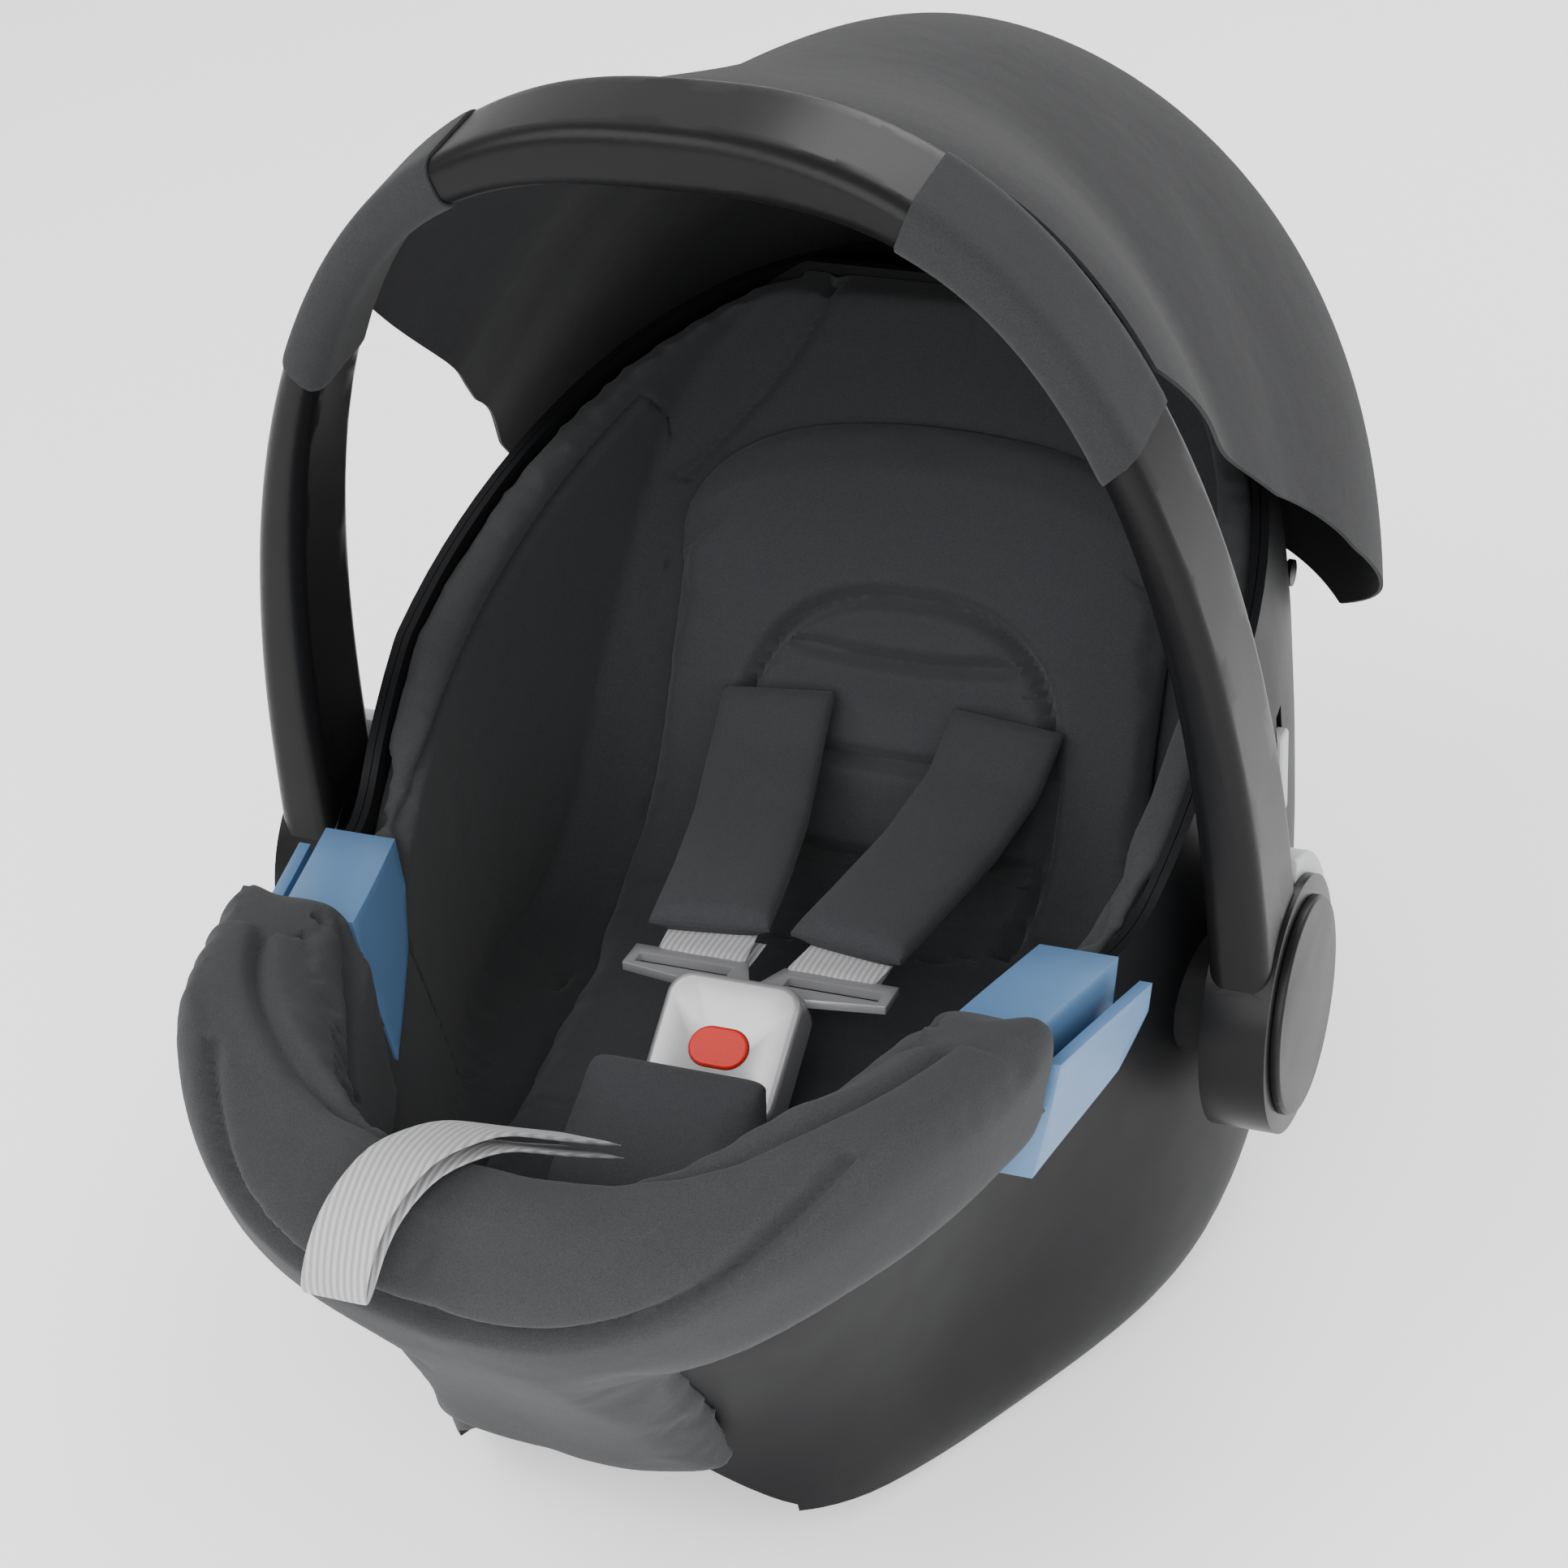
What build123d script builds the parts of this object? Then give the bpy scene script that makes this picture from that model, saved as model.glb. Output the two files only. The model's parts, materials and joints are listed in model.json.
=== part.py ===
from build123d import *
import os
from math import asin, atan2, cos, pi, radians, sin, sqrt, tan

os.makedirs("parts", exist_ok=True)

# An infant car seat of the carrier kind: a rocker shell, a padded tub, a harness and a folding handle.
# Millimetres. +X is the seat's width, -Y is the foot end, +Y the head end, +Z is up, the floor is z = 0.

frame_y = -16.98    # the middle of the whole seat's length, where the finished nodes have Y = 0

# ---- shell ------------------------------------------------------------------------------------
shell_front_y = -322.0      # foot end of the hull at the rim
shell_back_y = 290.0        # head end of the hull
shell_width = 370.0         # widest, beside the handle hubs
foot_width = 300.0          # width at the foot end's rim
shell_wall = 3.5
front_power = 3.3           # squareness of the plan outline towards the foot end
back_power = 2.4            # and towards the head end, rounder so that the handle folds past it
widen_from_y = -200.0       # the hull widens between these two places
widen_to_y = 20.0
hull_levels = [             # height, inset of front, back, foot half width and middle half width
    (-4.0, 101.0, 140.0, 59.0, 42.0),
    (15.0, 84.0, 88.0, 42.0, 20.0),
    (50.0, 76.0, 48.0, 34.0, 9.0),
    (100.0, 54.0, 20.0, 26.0, 3.0),
    (165.0, 12.0, 4.0, 12.0, 1.0),
    (230.0, 0.0, 2.0, -2.0, 3.0),
    (310.0, 0.0, 16.0, -2.0, 10.0),
    (430.0, 0.0, 112.0, 0.0, 34.0),
]

# ---- rocker and the recess between its two runners --------------------------------------------
flat_front_y = -75.0
flat_back_y = 85.0
rocker_radius = 432.0
recess_half_top = 38.0
recess_half_low = 72.0
recess_roof_z = 36.0
recess_mouth_z = 61.0

# ---- seat layers, counted inwards from the hull's outer face ----------------------------------
layer_gap = 0.4
bucket_wall = 3.0
liner_thick = 7.6
cover_thick = 5.6
insert_thick = 15.0
seat_front_low = (-205.0, 90.0)     # corners of the bucket's inner profile, (y, z)
seat_back_low = (85.0, 74.0)
seat_head_top = (262.0, 460.0)
seat_nose = (-345.0, 262.0)
seat_front_radius = 60.0
seat_back_radius = 95.0

# ---- rim line, (y, z) -------------------------------------------------------------------------
rim_points = [(-400.0, 152.0), (-262.0, 226.0), (-85.0, 222.0), (-20.0, 268.0), (200.0, 352.0),
              (330.0, 382.0)]
rim_radii = [60.0, 45.0, 30.0, 200.0]

# ---- handle -----------------------------------------------------------------------------------
pivot_y = -28.0
pivot_z = 165.0
handle_half_width = 214.0
handle_top_z = 537.0
handle_foot_z = 150.0
handle_front_y = -65.0      # front face of the arm at the foot of the arch
handle_lean = 0.1377        # forward lean, run per unit of rise
handle_depth = 48.0
handle_thick = 26.0
handle_outer_powers = (2.5, 2.35)   # squareness of the arch across and upwards
handle_inner_powers = (2.9, 2.7)
paddle_radius = 52.0
cap_outer_x = 218.0
hub_gap = 0.6               # between the shell's boss and the paddle
pin_radius = 6.0
pin_clearance = 0.05
boss_radius = 26.0

# ---- handle release button --------------------------------------------------------------------
button_inner_r = 50.0
button_outer_r = 60.5
button_half_span = 37.0     # degrees either side of the middle
button_middle = 45.0        # degrees above the level, towards the head end
button_travel = 4.0
button_thick = 18.0

# ---- harness ----------------------------------------------------------------------------------
web_width = 38.0
web_thick = 1.6
strap_spread = 30.0         # half distance between the two shoulder straps at the tongues
slot_spread = 52.0          # and at the slots in the back
buckle_centre = (0.0, -105.0, 146.0)
buckle_tilt = 37.0          # degrees the buckle's long axis stands above level
buckle_size = (58.0, 62.0, 20.0)
red_button_size = (25.0, 17.0)
red_button_travel = 3.0

# ---- canopy -----------------------------------------------------------------------------------
canopy_thick = 2.4
canopy_half_width = 208.0
canopy_power = 2.8


def half_outline(level, inset, count=13):
    """The +X half of the hull's plan outline at one level, from the foot end to the head end."""
    z, front_in, back_in, foot_in, middle_in = level
    front = shell_front_y + front_in + inset
    back = shell_back_y - back_in - inset
    foot_half = foot_width / 2 - foot_in - inset
    middle_half = shell_width / 2 - middle_in - inset
    points = []
    for i in range(count + 1):
        angle = pi * i / count - pi / 2
        c, s = cos(angle), sin(angle)
        power = back_power if s > 0 else front_power
        y = (front + back) / 2 + (back - front) / 2 * (1 if s > 0 else -1) * abs(s) ** (2 / power)
        t = min(max((y - widen_from_y) / (widen_to_y - widen_from_y), 0.0), 1.0)
        half = foot_half + (middle_half - foot_half) * t * t * (3 - 2 * t)
        points.append((half * abs(c) ** (2 / power), y))
    points[0], points[-1] = (0.0, front), (0.0, back)
    return points


def tub(inset):
    """The hull as a filled body, each side pulled in by an inset."""
    with BuildPart() as body:
        for level in hull_levels:
            with BuildSketch(Plane.XY.offset(level[0])):
                half = half_outline(level, inset)
                with BuildLine():
                    Spline(*half, *[(-x, y) for x, y in half[-2:0:-1]], periodic=True)
                make_face()
        loft()
    return body.part


def side_prism(points, radii, half=320.0, grow=0.0):
    """A side profile in Y and Z, rounded at its inner corners and carried across the width."""
    with BuildPart() as prism:
        with BuildSketch(Plane.YZ):
            with BuildLine():
                Polyline(*points, close=True)
            make_face()
            for (py, pz), radius in radii:
                corner = [v for v in vertices() if abs(v.X - py) + abs(v.Y - pz) < 0.01]
                fillet(corner, radius=radius)
            if grow:
                offset(amount=grow, kind=Kind.INTERSECTION)
        extrude(amount=half, both=True)
    return prism.part


def seat_air(depth):
    """The open space above the seat's profile, lifted by a depth from the bucket's inner face."""
    top = 520.0
    points = [seat_nose, seat_front_low, seat_back_low, seat_head_top, (seat_head_top[0], top),
              (seat_nose[0], top)]
    radii = [(seat_front_low, seat_front_radius), (seat_back_low, seat_back_radius)]
    return side_prism(points, radii, grow=-depth)


def below_rim(lift):
    """Everything under the rim line, lifted by a height."""
    line = [(y, z + lift) for y, z in rim_points]
    corners = list(zip(line[1:-1], rim_radii))
    points = line + [(line[-1][0], -60.0), (line[0][0], -60.0)]
    return side_prism(points, corners)


def above_rocker(lift):
    """Everything above the rocker's curved underside, lifted by a height."""
    reach = 300.0
    rise = rocker_radius - sqrt(rocker_radius**2 - reach**2)
    with BuildPart() as body:
        with BuildSketch(Plane.YZ):
            with BuildLine():
                front = (flat_front_y - reach, rise + lift)
                back = (flat_back_y + reach, rise + lift)
                Line((flat_front_y, lift), (flat_back_y, lift))
                mid = atan2(reach, rocker_radius - rise) / 2
                dip = rocker_radius * (1 - cos(mid))
                run = rocker_radius * sin(mid)
                ThreePointArc((flat_back_y, lift), (flat_back_y + run, dip + lift), back)
                Polyline(back, (back[0], 560.0), (front[0], 560.0), front)
                ThreePointArc(front, (flat_front_y - run, dip + lift), (flat_front_y, lift))
            make_face()
        extrude(amount=320.0, both=True)
    return body.part


def recess(grow):
    """The space between the two runners, open at both ends."""
    with BuildPart() as body:
        with BuildSketch(Plane.XZ):
            with BuildLine():
                low, top = recess_half_low + grow, recess_half_top + grow
                low_z, top_z = recess_roof_z - 6 + grow, recess_mouth_z + 3 + grow
                Polyline((-low, -20.0), (-low, low_z), (-top, top_z), (top, top_z), (low, low_z),
                         (low, -20.0),
                         close=True)
            make_face()
        extrude(amount=450.0, both=True)
        mouth_z, roof_z = recess_mouth_z + grow, recess_roof_z + grow
        roof = [(-450.0, mouth_z), (-215.0, mouth_z), (-165.0, roof_z), (135.0, roof_z), (200.0, mouth_z),
                (450.0, mouth_z), (450.0, -40.0), (-450.0, -40.0)]
        add(side_prism(roof, []), mode=Mode.INTERSECT)
    return body.part


def save(solid, name):
    """Moves a finished piece into the shared frame and writes it as one node."""
    placed = Pos(0, -frame_y, 0) * solid
    placed.label = name
    export_step(placed, f"parts/{name}.step")


def save_pair(right, name):
    """Writes the piece made for +X, and its mirror image for -X, as two nodes."""
    save(right, name + "_right")
    save(mirror(right, about=Plane.YZ), name + "_left")


def disc_x(radius, x_from, x_to, y=pivot_y, z=pivot_z):
    """A round slug along X."""
    with BuildPart() as slug:
        with BuildSketch(Plane.YZ.offset(x_from)):
            with Locations((y, z)):
                Circle(radius)
        extrude(amount=x_to - x_from)
    return slug.part


def block(x_range, y_range, z_range):
    """A plain block between two places on each axis."""
    spans = (x_range, y_range, z_range)
    with BuildPart() as solid:
        with Locations(tuple((a + b) / 2 for a, b in spans)):
            Box(*(b - a for a, b in spans))
    return solid.part


# ---- inset of each layer's two faces, and depth over the seat profile -------------------------
bucket_out = shell_wall + layer_gap
bucket_in = bucket_out + bucket_wall
liner_out = bucket_in + layer_gap
liner_in = liner_out + liner_thick
cover_out = liner_in + layer_gap
cover_in = cover_out + cover_thick
liner_depth = layer_gap + liner_thick
cover_depth = liner_depth + layer_gap + cover_thick

rim = below_rim(0)
boss_face_x = handle_half_width - handle_thick - hub_gap
pin_head_radius = 9.0
pin_head_x = (167.7, 171.2)
snap_y = 196.0
snap_z = 240.0
snap_radius = 3.0
snap_inner_x = 142.5
snap_face_x = 148.0         # the snap's head stays inside the folding handle's arms
snap_head = 2.6

# places where the harness passes through the seat's layers
slot_z = 212.0
slot_high = 9.0
slot_long = web_width + 8.0
crotch_y = -150.0
crotch_slot = 19.0


def harness_cuts():
    """The two shoulder slots, the crotch slot and the room for the pins' inner heads."""
    with BuildPart() as cuts:
        for side in (-1, 1):
            x = side * slot_spread
            add(block((x - slot_long / 2, x + slot_long / 2), (60.0, 250.0),
                      (slot_z - slot_high / 2, slot_z + slot_high / 2)))
            add(disc_x(pin_head_radius + 1.0, side * (pin_head_x[0] - 0.7), side * (pin_head_x[1] + 12.0)))
        crotch_back_y = crotch_y + crotch_slot - slot_high / 2
        add(block((-slot_long / 2, slot_long / 2), (crotch_y - slot_high / 2, crotch_back_y), (50.0, 140.0)))
    return cuts.part


cuts = harness_cuts()


def layer(out_inset, out_depth, in_inset, in_depth):
    """One tub-shaped layer of the seat, between an outer and an inner face, cut off at the rim."""
    with BuildPart() as inside:
        add(tub(in_inset))
        add(seat_air(in_depth), mode=Mode.INTERSECT)
    with BuildPart() as body:
        add(tub(out_inset))
        add(seat_air(out_depth), mode=Mode.INTERSECT)
        add(rim, mode=Mode.INTERSECT)
        add(inside.part, mode=Mode.SUBTRACT)
        add(cuts, mode=Mode.SUBTRACT)
    return body.part


# ---- outer shell ------------------------------------------------------------------------------
lever_y = 70.0
lever_size = (11.0, 38.0)
lever_low_z = 193.0
lever_travel = 8.0
lever_gap = 0.5
lever_face_x = 181.2
lever_inner_x = 176.9
screw_radius = 2.0
screw_head_radius = 4.2
screw_spots = [(x, y) for x in (-112.0, 112.0) for y in (-35.0, 50.0)]
bar_radius = 5.0
bar_z = 18.0
bar_front_y = -120.0
bar_rear_y = 95.0
bar_half = recess_half_low + shell_wall + 1.0

with BuildPart() as hollow:
    add(tub(shell_wall))
    add(above_rocker(shell_wall), mode=Mode.INTERSECT)
    add(recess(shell_wall), mode=Mode.SUBTRACT)

with BuildPart() as outer_shell:
    add(tub(0))
    add(above_rocker(0), mode=Mode.INTERSECT)
    add(rim, mode=Mode.INTERSECT)
    for side in (-1, 1):
        add(disc_x(boss_radius, side * 165.0, side * boss_face_x))
    add(recess(0), mode=Mode.SUBTRACT)
    add(hollow.part, mode=Mode.SUBTRACT)
    for side in (-1, 1):
        add(disc_x(pin_radius, side * 150.0, side * 200.0), mode=Mode.SUBTRACT)
        add(disc_x(snap_radius + 0.1, side * (snap_inner_x - 4.0), side * 160.0, snap_y, snap_z),
            mode=Mode.SUBTRACT)
        add(block(sorted((side * 170.0, side * 200.0)),
                  (lever_y - lever_size[0] / 2 - lever_gap, lever_y + lever_size[0] / 2 + lever_gap),
                  (lever_low_z - lever_gap, lever_low_z + lever_size[1] + lever_travel + 1.0)),
            mode=Mode.SUBTRACT)
    for y in (bar_front_y, bar_rear_y):
        add(disc_x(bar_radius + 0.05, -bar_half - 4.0, bar_half + 4.0, y, bar_z), mode=Mode.SUBTRACT)
    with Locations([(x, y, 0) for x, y in screw_spots]):
        Cylinder(screw_radius + 0.1, 30.0, mode=Mode.SUBTRACT)
        Cylinder(screw_head_radius + 0.3, 4.4, mode=Mode.SUBTRACT)
save(outer_shell.part, "outer_shell")

with BuildPart() as shell_screws:
    with Locations([(x, y, 0.4) for x, y in screw_spots]):
        Cylinder(screw_head_radius, 1.8, align=(Align.CENTER, Align.CENTER, Align.MIN))
        Cylinder(screw_radius, 15.0, align=(Align.CENTER, Align.CENTER, Align.MIN))
save(shell_screws.part, "shell_screws")

for y, name in ((bar_front_y, "latch_bar_front"), (bar_rear_y, "latch_bar_rear")):
    save(disc_x(bar_radius, -bar_half, bar_half, y, bar_z), name)

# ---- seat bucket, foam liner and padded cover, one inside the other ---------------------------
slope = atan2(seat_nose[1] - seat_front_low[1], seat_nose[0] - seat_front_low[0])
adjuster_z = 178.0
adjuster_y = seat_front_low[0] + (adjuster_z - seat_front_low[1]) / tan(slope)
adjuster_plane = Plane(origin=(0, adjuster_y, adjuster_z), x_dir=(1, 0, 0),
                       z_dir=(0, sin(slope), -cos(slope)))
adjuster_size = (52.0, 40.0, 14.0)


def adjuster_room(clearance):
    """The pocket that the harness adjuster sits in."""
    with BuildPart() as room:
        with BuildSketch(adjuster_plane.offset(0.3 - clearance)):
            Rectangle(adjuster_size[0] + 2 * clearance, adjuster_size[1] + 2 * clearance)
        extrude(amount=60.0)
    return room.part


with BuildPart() as seat_bucket:
    add(layer(bucket_out, -bucket_wall, bucket_in, 0.0))
save(seat_bucket.part, "seat_bucket")

with BuildPart() as foam_liner:
    add(layer(liner_out, layer_gap, liner_in, liner_depth))
    add(adjuster_room(0.8), mode=Mode.SUBTRACT)
save(foam_liner.part, "foam_liner")

with BuildPart() as seat_cover:
    add(layer(cover_out, liner_depth + layer_gap, cover_in, cover_depth))
    add(adjuster_room(0.8), mode=Mode.SUBTRACT)
save(seat_cover.part, "seat_cover")

# ---- newborn insert: a thick pad on the seat and back -----------------------------------------
insert_depth = cover_depth + layer_gap
insert_top = insert_depth + insert_thick
insert_front_y = -205.0
insert_head_z = 318.0
insert_half_front = 82.0
insert_half_back = 112.0

with BuildPart() as newborn_insert:
    add(tub(cover_in + 0.8))
    add(seat_air(insert_depth), mode=Mode.INTERSECT)
    add(seat_air(insert_top), mode=Mode.SUBTRACT)
    with BuildSketch(Plane.XY.offset(40.0)) as insert_outline:
        with BuildLine():
            Polyline((-insert_half_front, insert_front_y), (insert_half_front, insert_front_y),
                     (insert_half_back, -20.0),
                     (insert_half_back, 240.0), (-insert_half_back, 240.0), (-insert_half_back, -20.0),
                     close=True)
        make_face()
        fillet(insert_outline.vertices().group_by(Axis.Y)[0], radius=40.0)
    extrude(amount=insert_head_z - 40.0, mode=Mode.INTERSECT)
    add(cuts, mode=Mode.SUBTRACT)
save(newborn_insert.part, "newborn_insert")

# ---- padded bolster over the foot end's rim ---------------------------------------------------
bolster_out = 11.0
bolster_in = cover_in + 6.0
bolster_rise = 16.0
bolster_back_y = -178.5
flap_outline = [(-380.0, 64.0), (-262.0, 64.0), (-242.0, 72.0), (-206.0, 122.0), (bolster_back_y, 178.0),
                (bolster_back_y, 300.0), (-380.0, 300.0)]

with BuildPart() as seat_mouth:
    add(tub(cover_in + layer_gap))
    add(seat_air(cover_depth + layer_gap), mode=Mode.INTERSECT)

with BuildPart() as seat_solid:
    add(tub(-layer_gap))
    add(below_rim(layer_gap), mode=Mode.INTERSECT)
    add(seat_mouth.part, mode=Mode.SUBTRACT)

with BuildPart() as rim_bolster:
    add(tub(-bolster_out))
    add(tub(bolster_in), mode=Mode.SUBTRACT)
    add(below_rim(bolster_rise), mode=Mode.INTERSECT)
    add(side_prism(flap_outline, []), mode=Mode.INTERSECT)
    add(seat_solid.part, mode=Mode.SUBTRACT)
save(rim_bolster.part, "rim_bolster")

# ---- belt guides on the rim, one each side ----------------------------------------------------
guide_wall = 5.0
guide_channel = 9.0
guide_front_y = bolster_back_y + 0.8
guide_back_y = -112.0
guide_floor_z = 200.0
guide_outline = [(guide_front_y, 300.0), (guide_front_y, 168.0), (-128.0, 188.0), (guide_back_y, 206.0),
                 (guide_back_y, 300.0)]
guide_outer = guide_wall + guide_channel + guide_wall


def guide_patch(inset):
    """The part of the hull, pulled in by an inset, that lies within one belt guide's outline."""
    with BuildPart() as patch:
        with BuildSketch(Plane.YZ.offset(90.0)):
            with BuildLine():
                Polyline(*guide_outline, close=True)
            make_face()
        extrude(amount=150.0)
        add(tub(inset), mode=Mode.INTERSECT)
    return patch.part


with BuildPart() as guide_slot:
    add(guide_patch(-guide_wall - guide_channel))
    add(guide_patch(-guide_wall), mode=Mode.SUBTRACT)
    add(block((50.0, 300.0), (-300.0, 0.0), (guide_floor_z, 300.0)), mode=Mode.INTERSECT)

with BuildPart() as guide_lip:
    add(guide_patch(-guide_outer - 1.0))
    add(guide_patch(-guide_wall - guide_channel), mode=Mode.SUBTRACT)
    add(below_rim(-4.0), mode=Mode.SUBTRACT)

with BuildPart() as belt_guide:
    add(guide_patch(-guide_outer))
    add(guide_patch(cover_in + guide_wall), mode=Mode.SUBTRACT)
    add(below_rim(guide_wall), mode=Mode.INTERSECT)
    add(seat_solid.part, mode=Mode.SUBTRACT)
    add(guide_slot.part, mode=Mode.SUBTRACT)
    add(guide_lip.part, mode=Mode.SUBTRACT)
save_pair(belt_guide.part, "belt_guide")

# ---- handle and hubs: an arch with a round paddle at each foot --------------------------------
arm_inset = 0.6             # the arch is this much thinner than the paddles, each face
paddle_in_x = handle_half_width - handle_thick
ring_radius = 24.0
ring_end_x = 195.2
ring_pocket = (25.0, 196.0)
button_side_wall = 3.6
button_clearance = 0.4
button_in_x = paddle_in_x + button_side_wall + button_clearance
button_out_x = button_in_x + button_thick
pocket_inner_r = button_inner_r - button_travel - 0.5
pocket_half_span = button_half_span + 4.0
spring_well_r = 32.0
spring_radius = 3.0
spring_wire = 0.7
cap_radius = 44.0
lean = atan2(handle_lean, 1.0)
arch_height = (handle_top_z - handle_foot_z) / cos(lean)
middle = radians(button_middle)
press_axis = (0, cos(middle), sin(middle))
arch_plane = Plane(origin=(0, handle_front_y, handle_foot_z), x_dir=(1, 0, 0),
                   z_dir=(0, -cos(lean), -sin(lean)))


def arch_line(shrink, powers, count=14):
    """Points along the handle's arch, pulled in by an amount, from the +X foot to the -X foot."""
    half, top = handle_half_width - shrink, arch_height - shrink
    quarter = []
    for i in range(count + 1):
        angle = pi / 2 * i / count
        quarter.append((half * cos(angle) ** (2 / powers[0]), top * sin(angle) ** (2 / powers[1])))
    quarter[-1] = (0.0, top)
    return quarter + [(-x, h) for x, h in quarter[-2::-1]]


def sector(r_in, r_out, half_span, x_from, x_to):
    """A slice of a ring about the pivot, centred on the release button's direction."""
    with BuildPart() as piece:
        with BuildSketch(Plane(origin=(x_from, pivot_y, pivot_z), x_dir=press_axis, z_dir=(1, 0, 0))):
            Circle(r_out)
            Circle(r_in, mode=Mode.SUBTRACT)
            with BuildLine():
                a, reach = radians(half_span), 3 * r_out
                Polyline((0, 0), (reach * cos(a), -reach * sin(a)), (reach * cos(a), reach * sin(a)),
                         close=True)
            make_face(mode=Mode.INTERSECT)
        extrude(amount=x_to - x_from)
    return piece.part


def coil(radius, wire, height, pitch):
    """A round-wire spring standing on the XY plane."""
    with BuildPart() as spring:
        with BuildLine():
            path = Helix(pitch=pitch, height=height, radius=radius)
        with BuildSketch(Plane(origin=path @ 0, z_dir=path % 0)):
            Circle(wire)
        sweep()
    return spring.part


def along_press(radius):
    """A plane square to the button's travel, at a distance from the pivot, in the middle of the paddle."""
    x = (button_in_x + button_out_x) / 2
    return Plane(origin=(x, pivot_y + radius * cos(middle), pivot_z + radius * sin(middle)), z_dir=press_axis)


with BuildPart() as well_right:
    with BuildSketch(along_press(spring_well_r)):
        Circle(spring_radius + spring_wire + 0.5)
    extrude(amount=pocket_inner_r - spring_well_r + 1.0)

def arch_band(grow):
    """The handle's arch, fattened all round by an amount."""
    outer = arch_line(arm_inset - grow, handle_outer_powers)
    inner = arch_line(handle_thick - arm_inset + grow, handle_inner_powers)
    with BuildPart() as band:
        with BuildSketch(arch_plane.offset(grow)):
            with BuildLine():
                Spline(*outer, tangents=((0, 1), (0, -1)))
                Line(outer[-1], inner[-1])
                Spline(*inner[::-1], tangents=((0, 1), (0, -1)))
                Line(inner[0], outer[0])
            make_face()
        extrude(amount=-handle_depth - 2 * grow)
    return band.part


with BuildPart() as handle:
    add(arch_band(0))
    long_edges = handle.edges().filter_by(lambda edge: edge.length > 400)
    fillet(long_edges, radius=7.0)
    for side in (-1, 1):
        add(disc_x(paddle_radius, side * paddle_in_x, side * handle_half_width))
    for side in (-1, 1):
        add(disc_x(pin_radius, side * 170.0, side * 230.0), mode=Mode.SUBTRACT)
        add(disc_x(ring_pocket[0], side * 170.0, side * ring_pocket[1]), mode=Mode.SUBTRACT)
        add(sector(pocket_inner_r, paddle_radius + 20.0, pocket_half_span,
                   side * (button_in_x - button_clearance),
                   side * (button_out_x + button_clearance)), mode=Mode.SUBTRACT)
    add(well_right.part, mode=Mode.SUBTRACT)
    add(mirror(well_right.part, about=Plane.YZ), mode=Mode.SUBTRACT)
save(handle.part, "handle")

with BuildPart() as hub_cap:
    add(disc_x(cap_radius, handle_half_width + 0.3, cap_outer_x))
    fillet(hub_cap.edges().group_by(Axis.X)[-1], radius=1.5)
save_pair(hub_cap.part, "hub_cap")

with BuildPart() as pivot_pin:
    add(disc_x(pin_radius - pin_clearance, pin_head_x[0], handle_half_width - 0.2))
    add(disc_x(pin_head_radius, pin_head_x[0], pin_head_x[1]))
save_pair(pivot_pin.part, "pivot_pin")

with BuildPart() as lock_ring:
    add(disc_x(ring_radius, boss_face_x, ring_end_x))
    with BuildSketch(Plane.YZ.offset(boss_face_x + 4.0)):
        with Locations((pivot_y, pivot_z)):
            with PolarLocations(ring_radius, 12):
                Rectangle(5.0, 4.0)
    extrude(amount=20.0, mode=Mode.SUBTRACT)
    add(disc_x(pin_radius + 0.4, 170.0, 230.0), mode=Mode.SUBTRACT)
save_pair(lock_ring.part, "lock_ring")

with BuildPart() as handle_button:
    add(sector(button_inner_r, button_outer_r, button_half_span, button_in_x, button_out_x))
    fillet(handle_button.edges().filter_by(lambda edge: edge.length > 60), radius=1.5)
save_pair(handle_button.part, "handle_button")

press_coil = coil(spring_radius, spring_wire, button_inner_r - spring_well_r - 2 * spring_wire - 0.6, 3.6)
save_pair(along_press(spring_well_r + spring_wire + 0.3).location * press_coil, "handle_spring")

# ---- shell side details: release levers -------------------------------------------------------
with BuildPart() as release_lever:
    add(block((lever_inner_x, lever_face_x), (lever_y - lever_size[0] / 2, lever_y + lever_size[0] / 2),
              (lever_low_z, lever_low_z + lever_size[1])))
    fillet(release_lever.edges().filter_by(Axis.X), radius=3.0)
    chamfer(release_lever.faces().sort_by(Axis.X)[-1].edges(), length=0.8)
save_pair(release_lever.part, "release_lever")

# ---- harness straps ---------------------------------------------------------------------------


def band_prism(points, radii, thick, half=320.0):
    """A band of even thickness that follows a side profile in Y and Z, carried across the width."""
    sides = ([], [])
    corners = []
    for i, (y, z) in enumerate(points):
        before = points[max(i - 1, 0)]
        after = points[min(i + 1, len(points) - 1)]
        first = atan2(z - before[1], y - before[0]) if i else atan2(after[1] - z, after[0] - y)
        second = atan2(after[1] - z, after[0] - y) if i < len(points) - 1 else first
        turn = (second - first + pi) % (2 * pi) - pi
        heading = first + turn / 2
        reach = thick / 2 / cos(turn / 2)
        for side, sign in ((sides[0], 1), (sides[1], -1)):
            point = (y - sign * reach * sin(heading), z + sign * reach * cos(heading))
            side.append(point)
            if 0 < i < len(points) - 1:
                bend = radii[i - 1] - thick / 2 if (turn > 0) == (sign > 0) else radii[i - 1] + thick / 2
                corners.append((point, bend))
    return side_prism(sides[0] + sides[1][::-1], corners, half)


def plan_strip(points, width):
    """A strip seen from above that follows points in X and Y, as a tall body."""
    with BuildPart() as strip:
        with BuildSketch(Plane.XY):
            with BuildLine():
                right = [(x + width / 2, y) for x, y in points]
                left = [(x - width / 2, y) for x, y in points[::-1]]
                Polyline(*right, *left, close=True)
            make_face()
        extrude(amount=600.0)
    return strip.part


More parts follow.
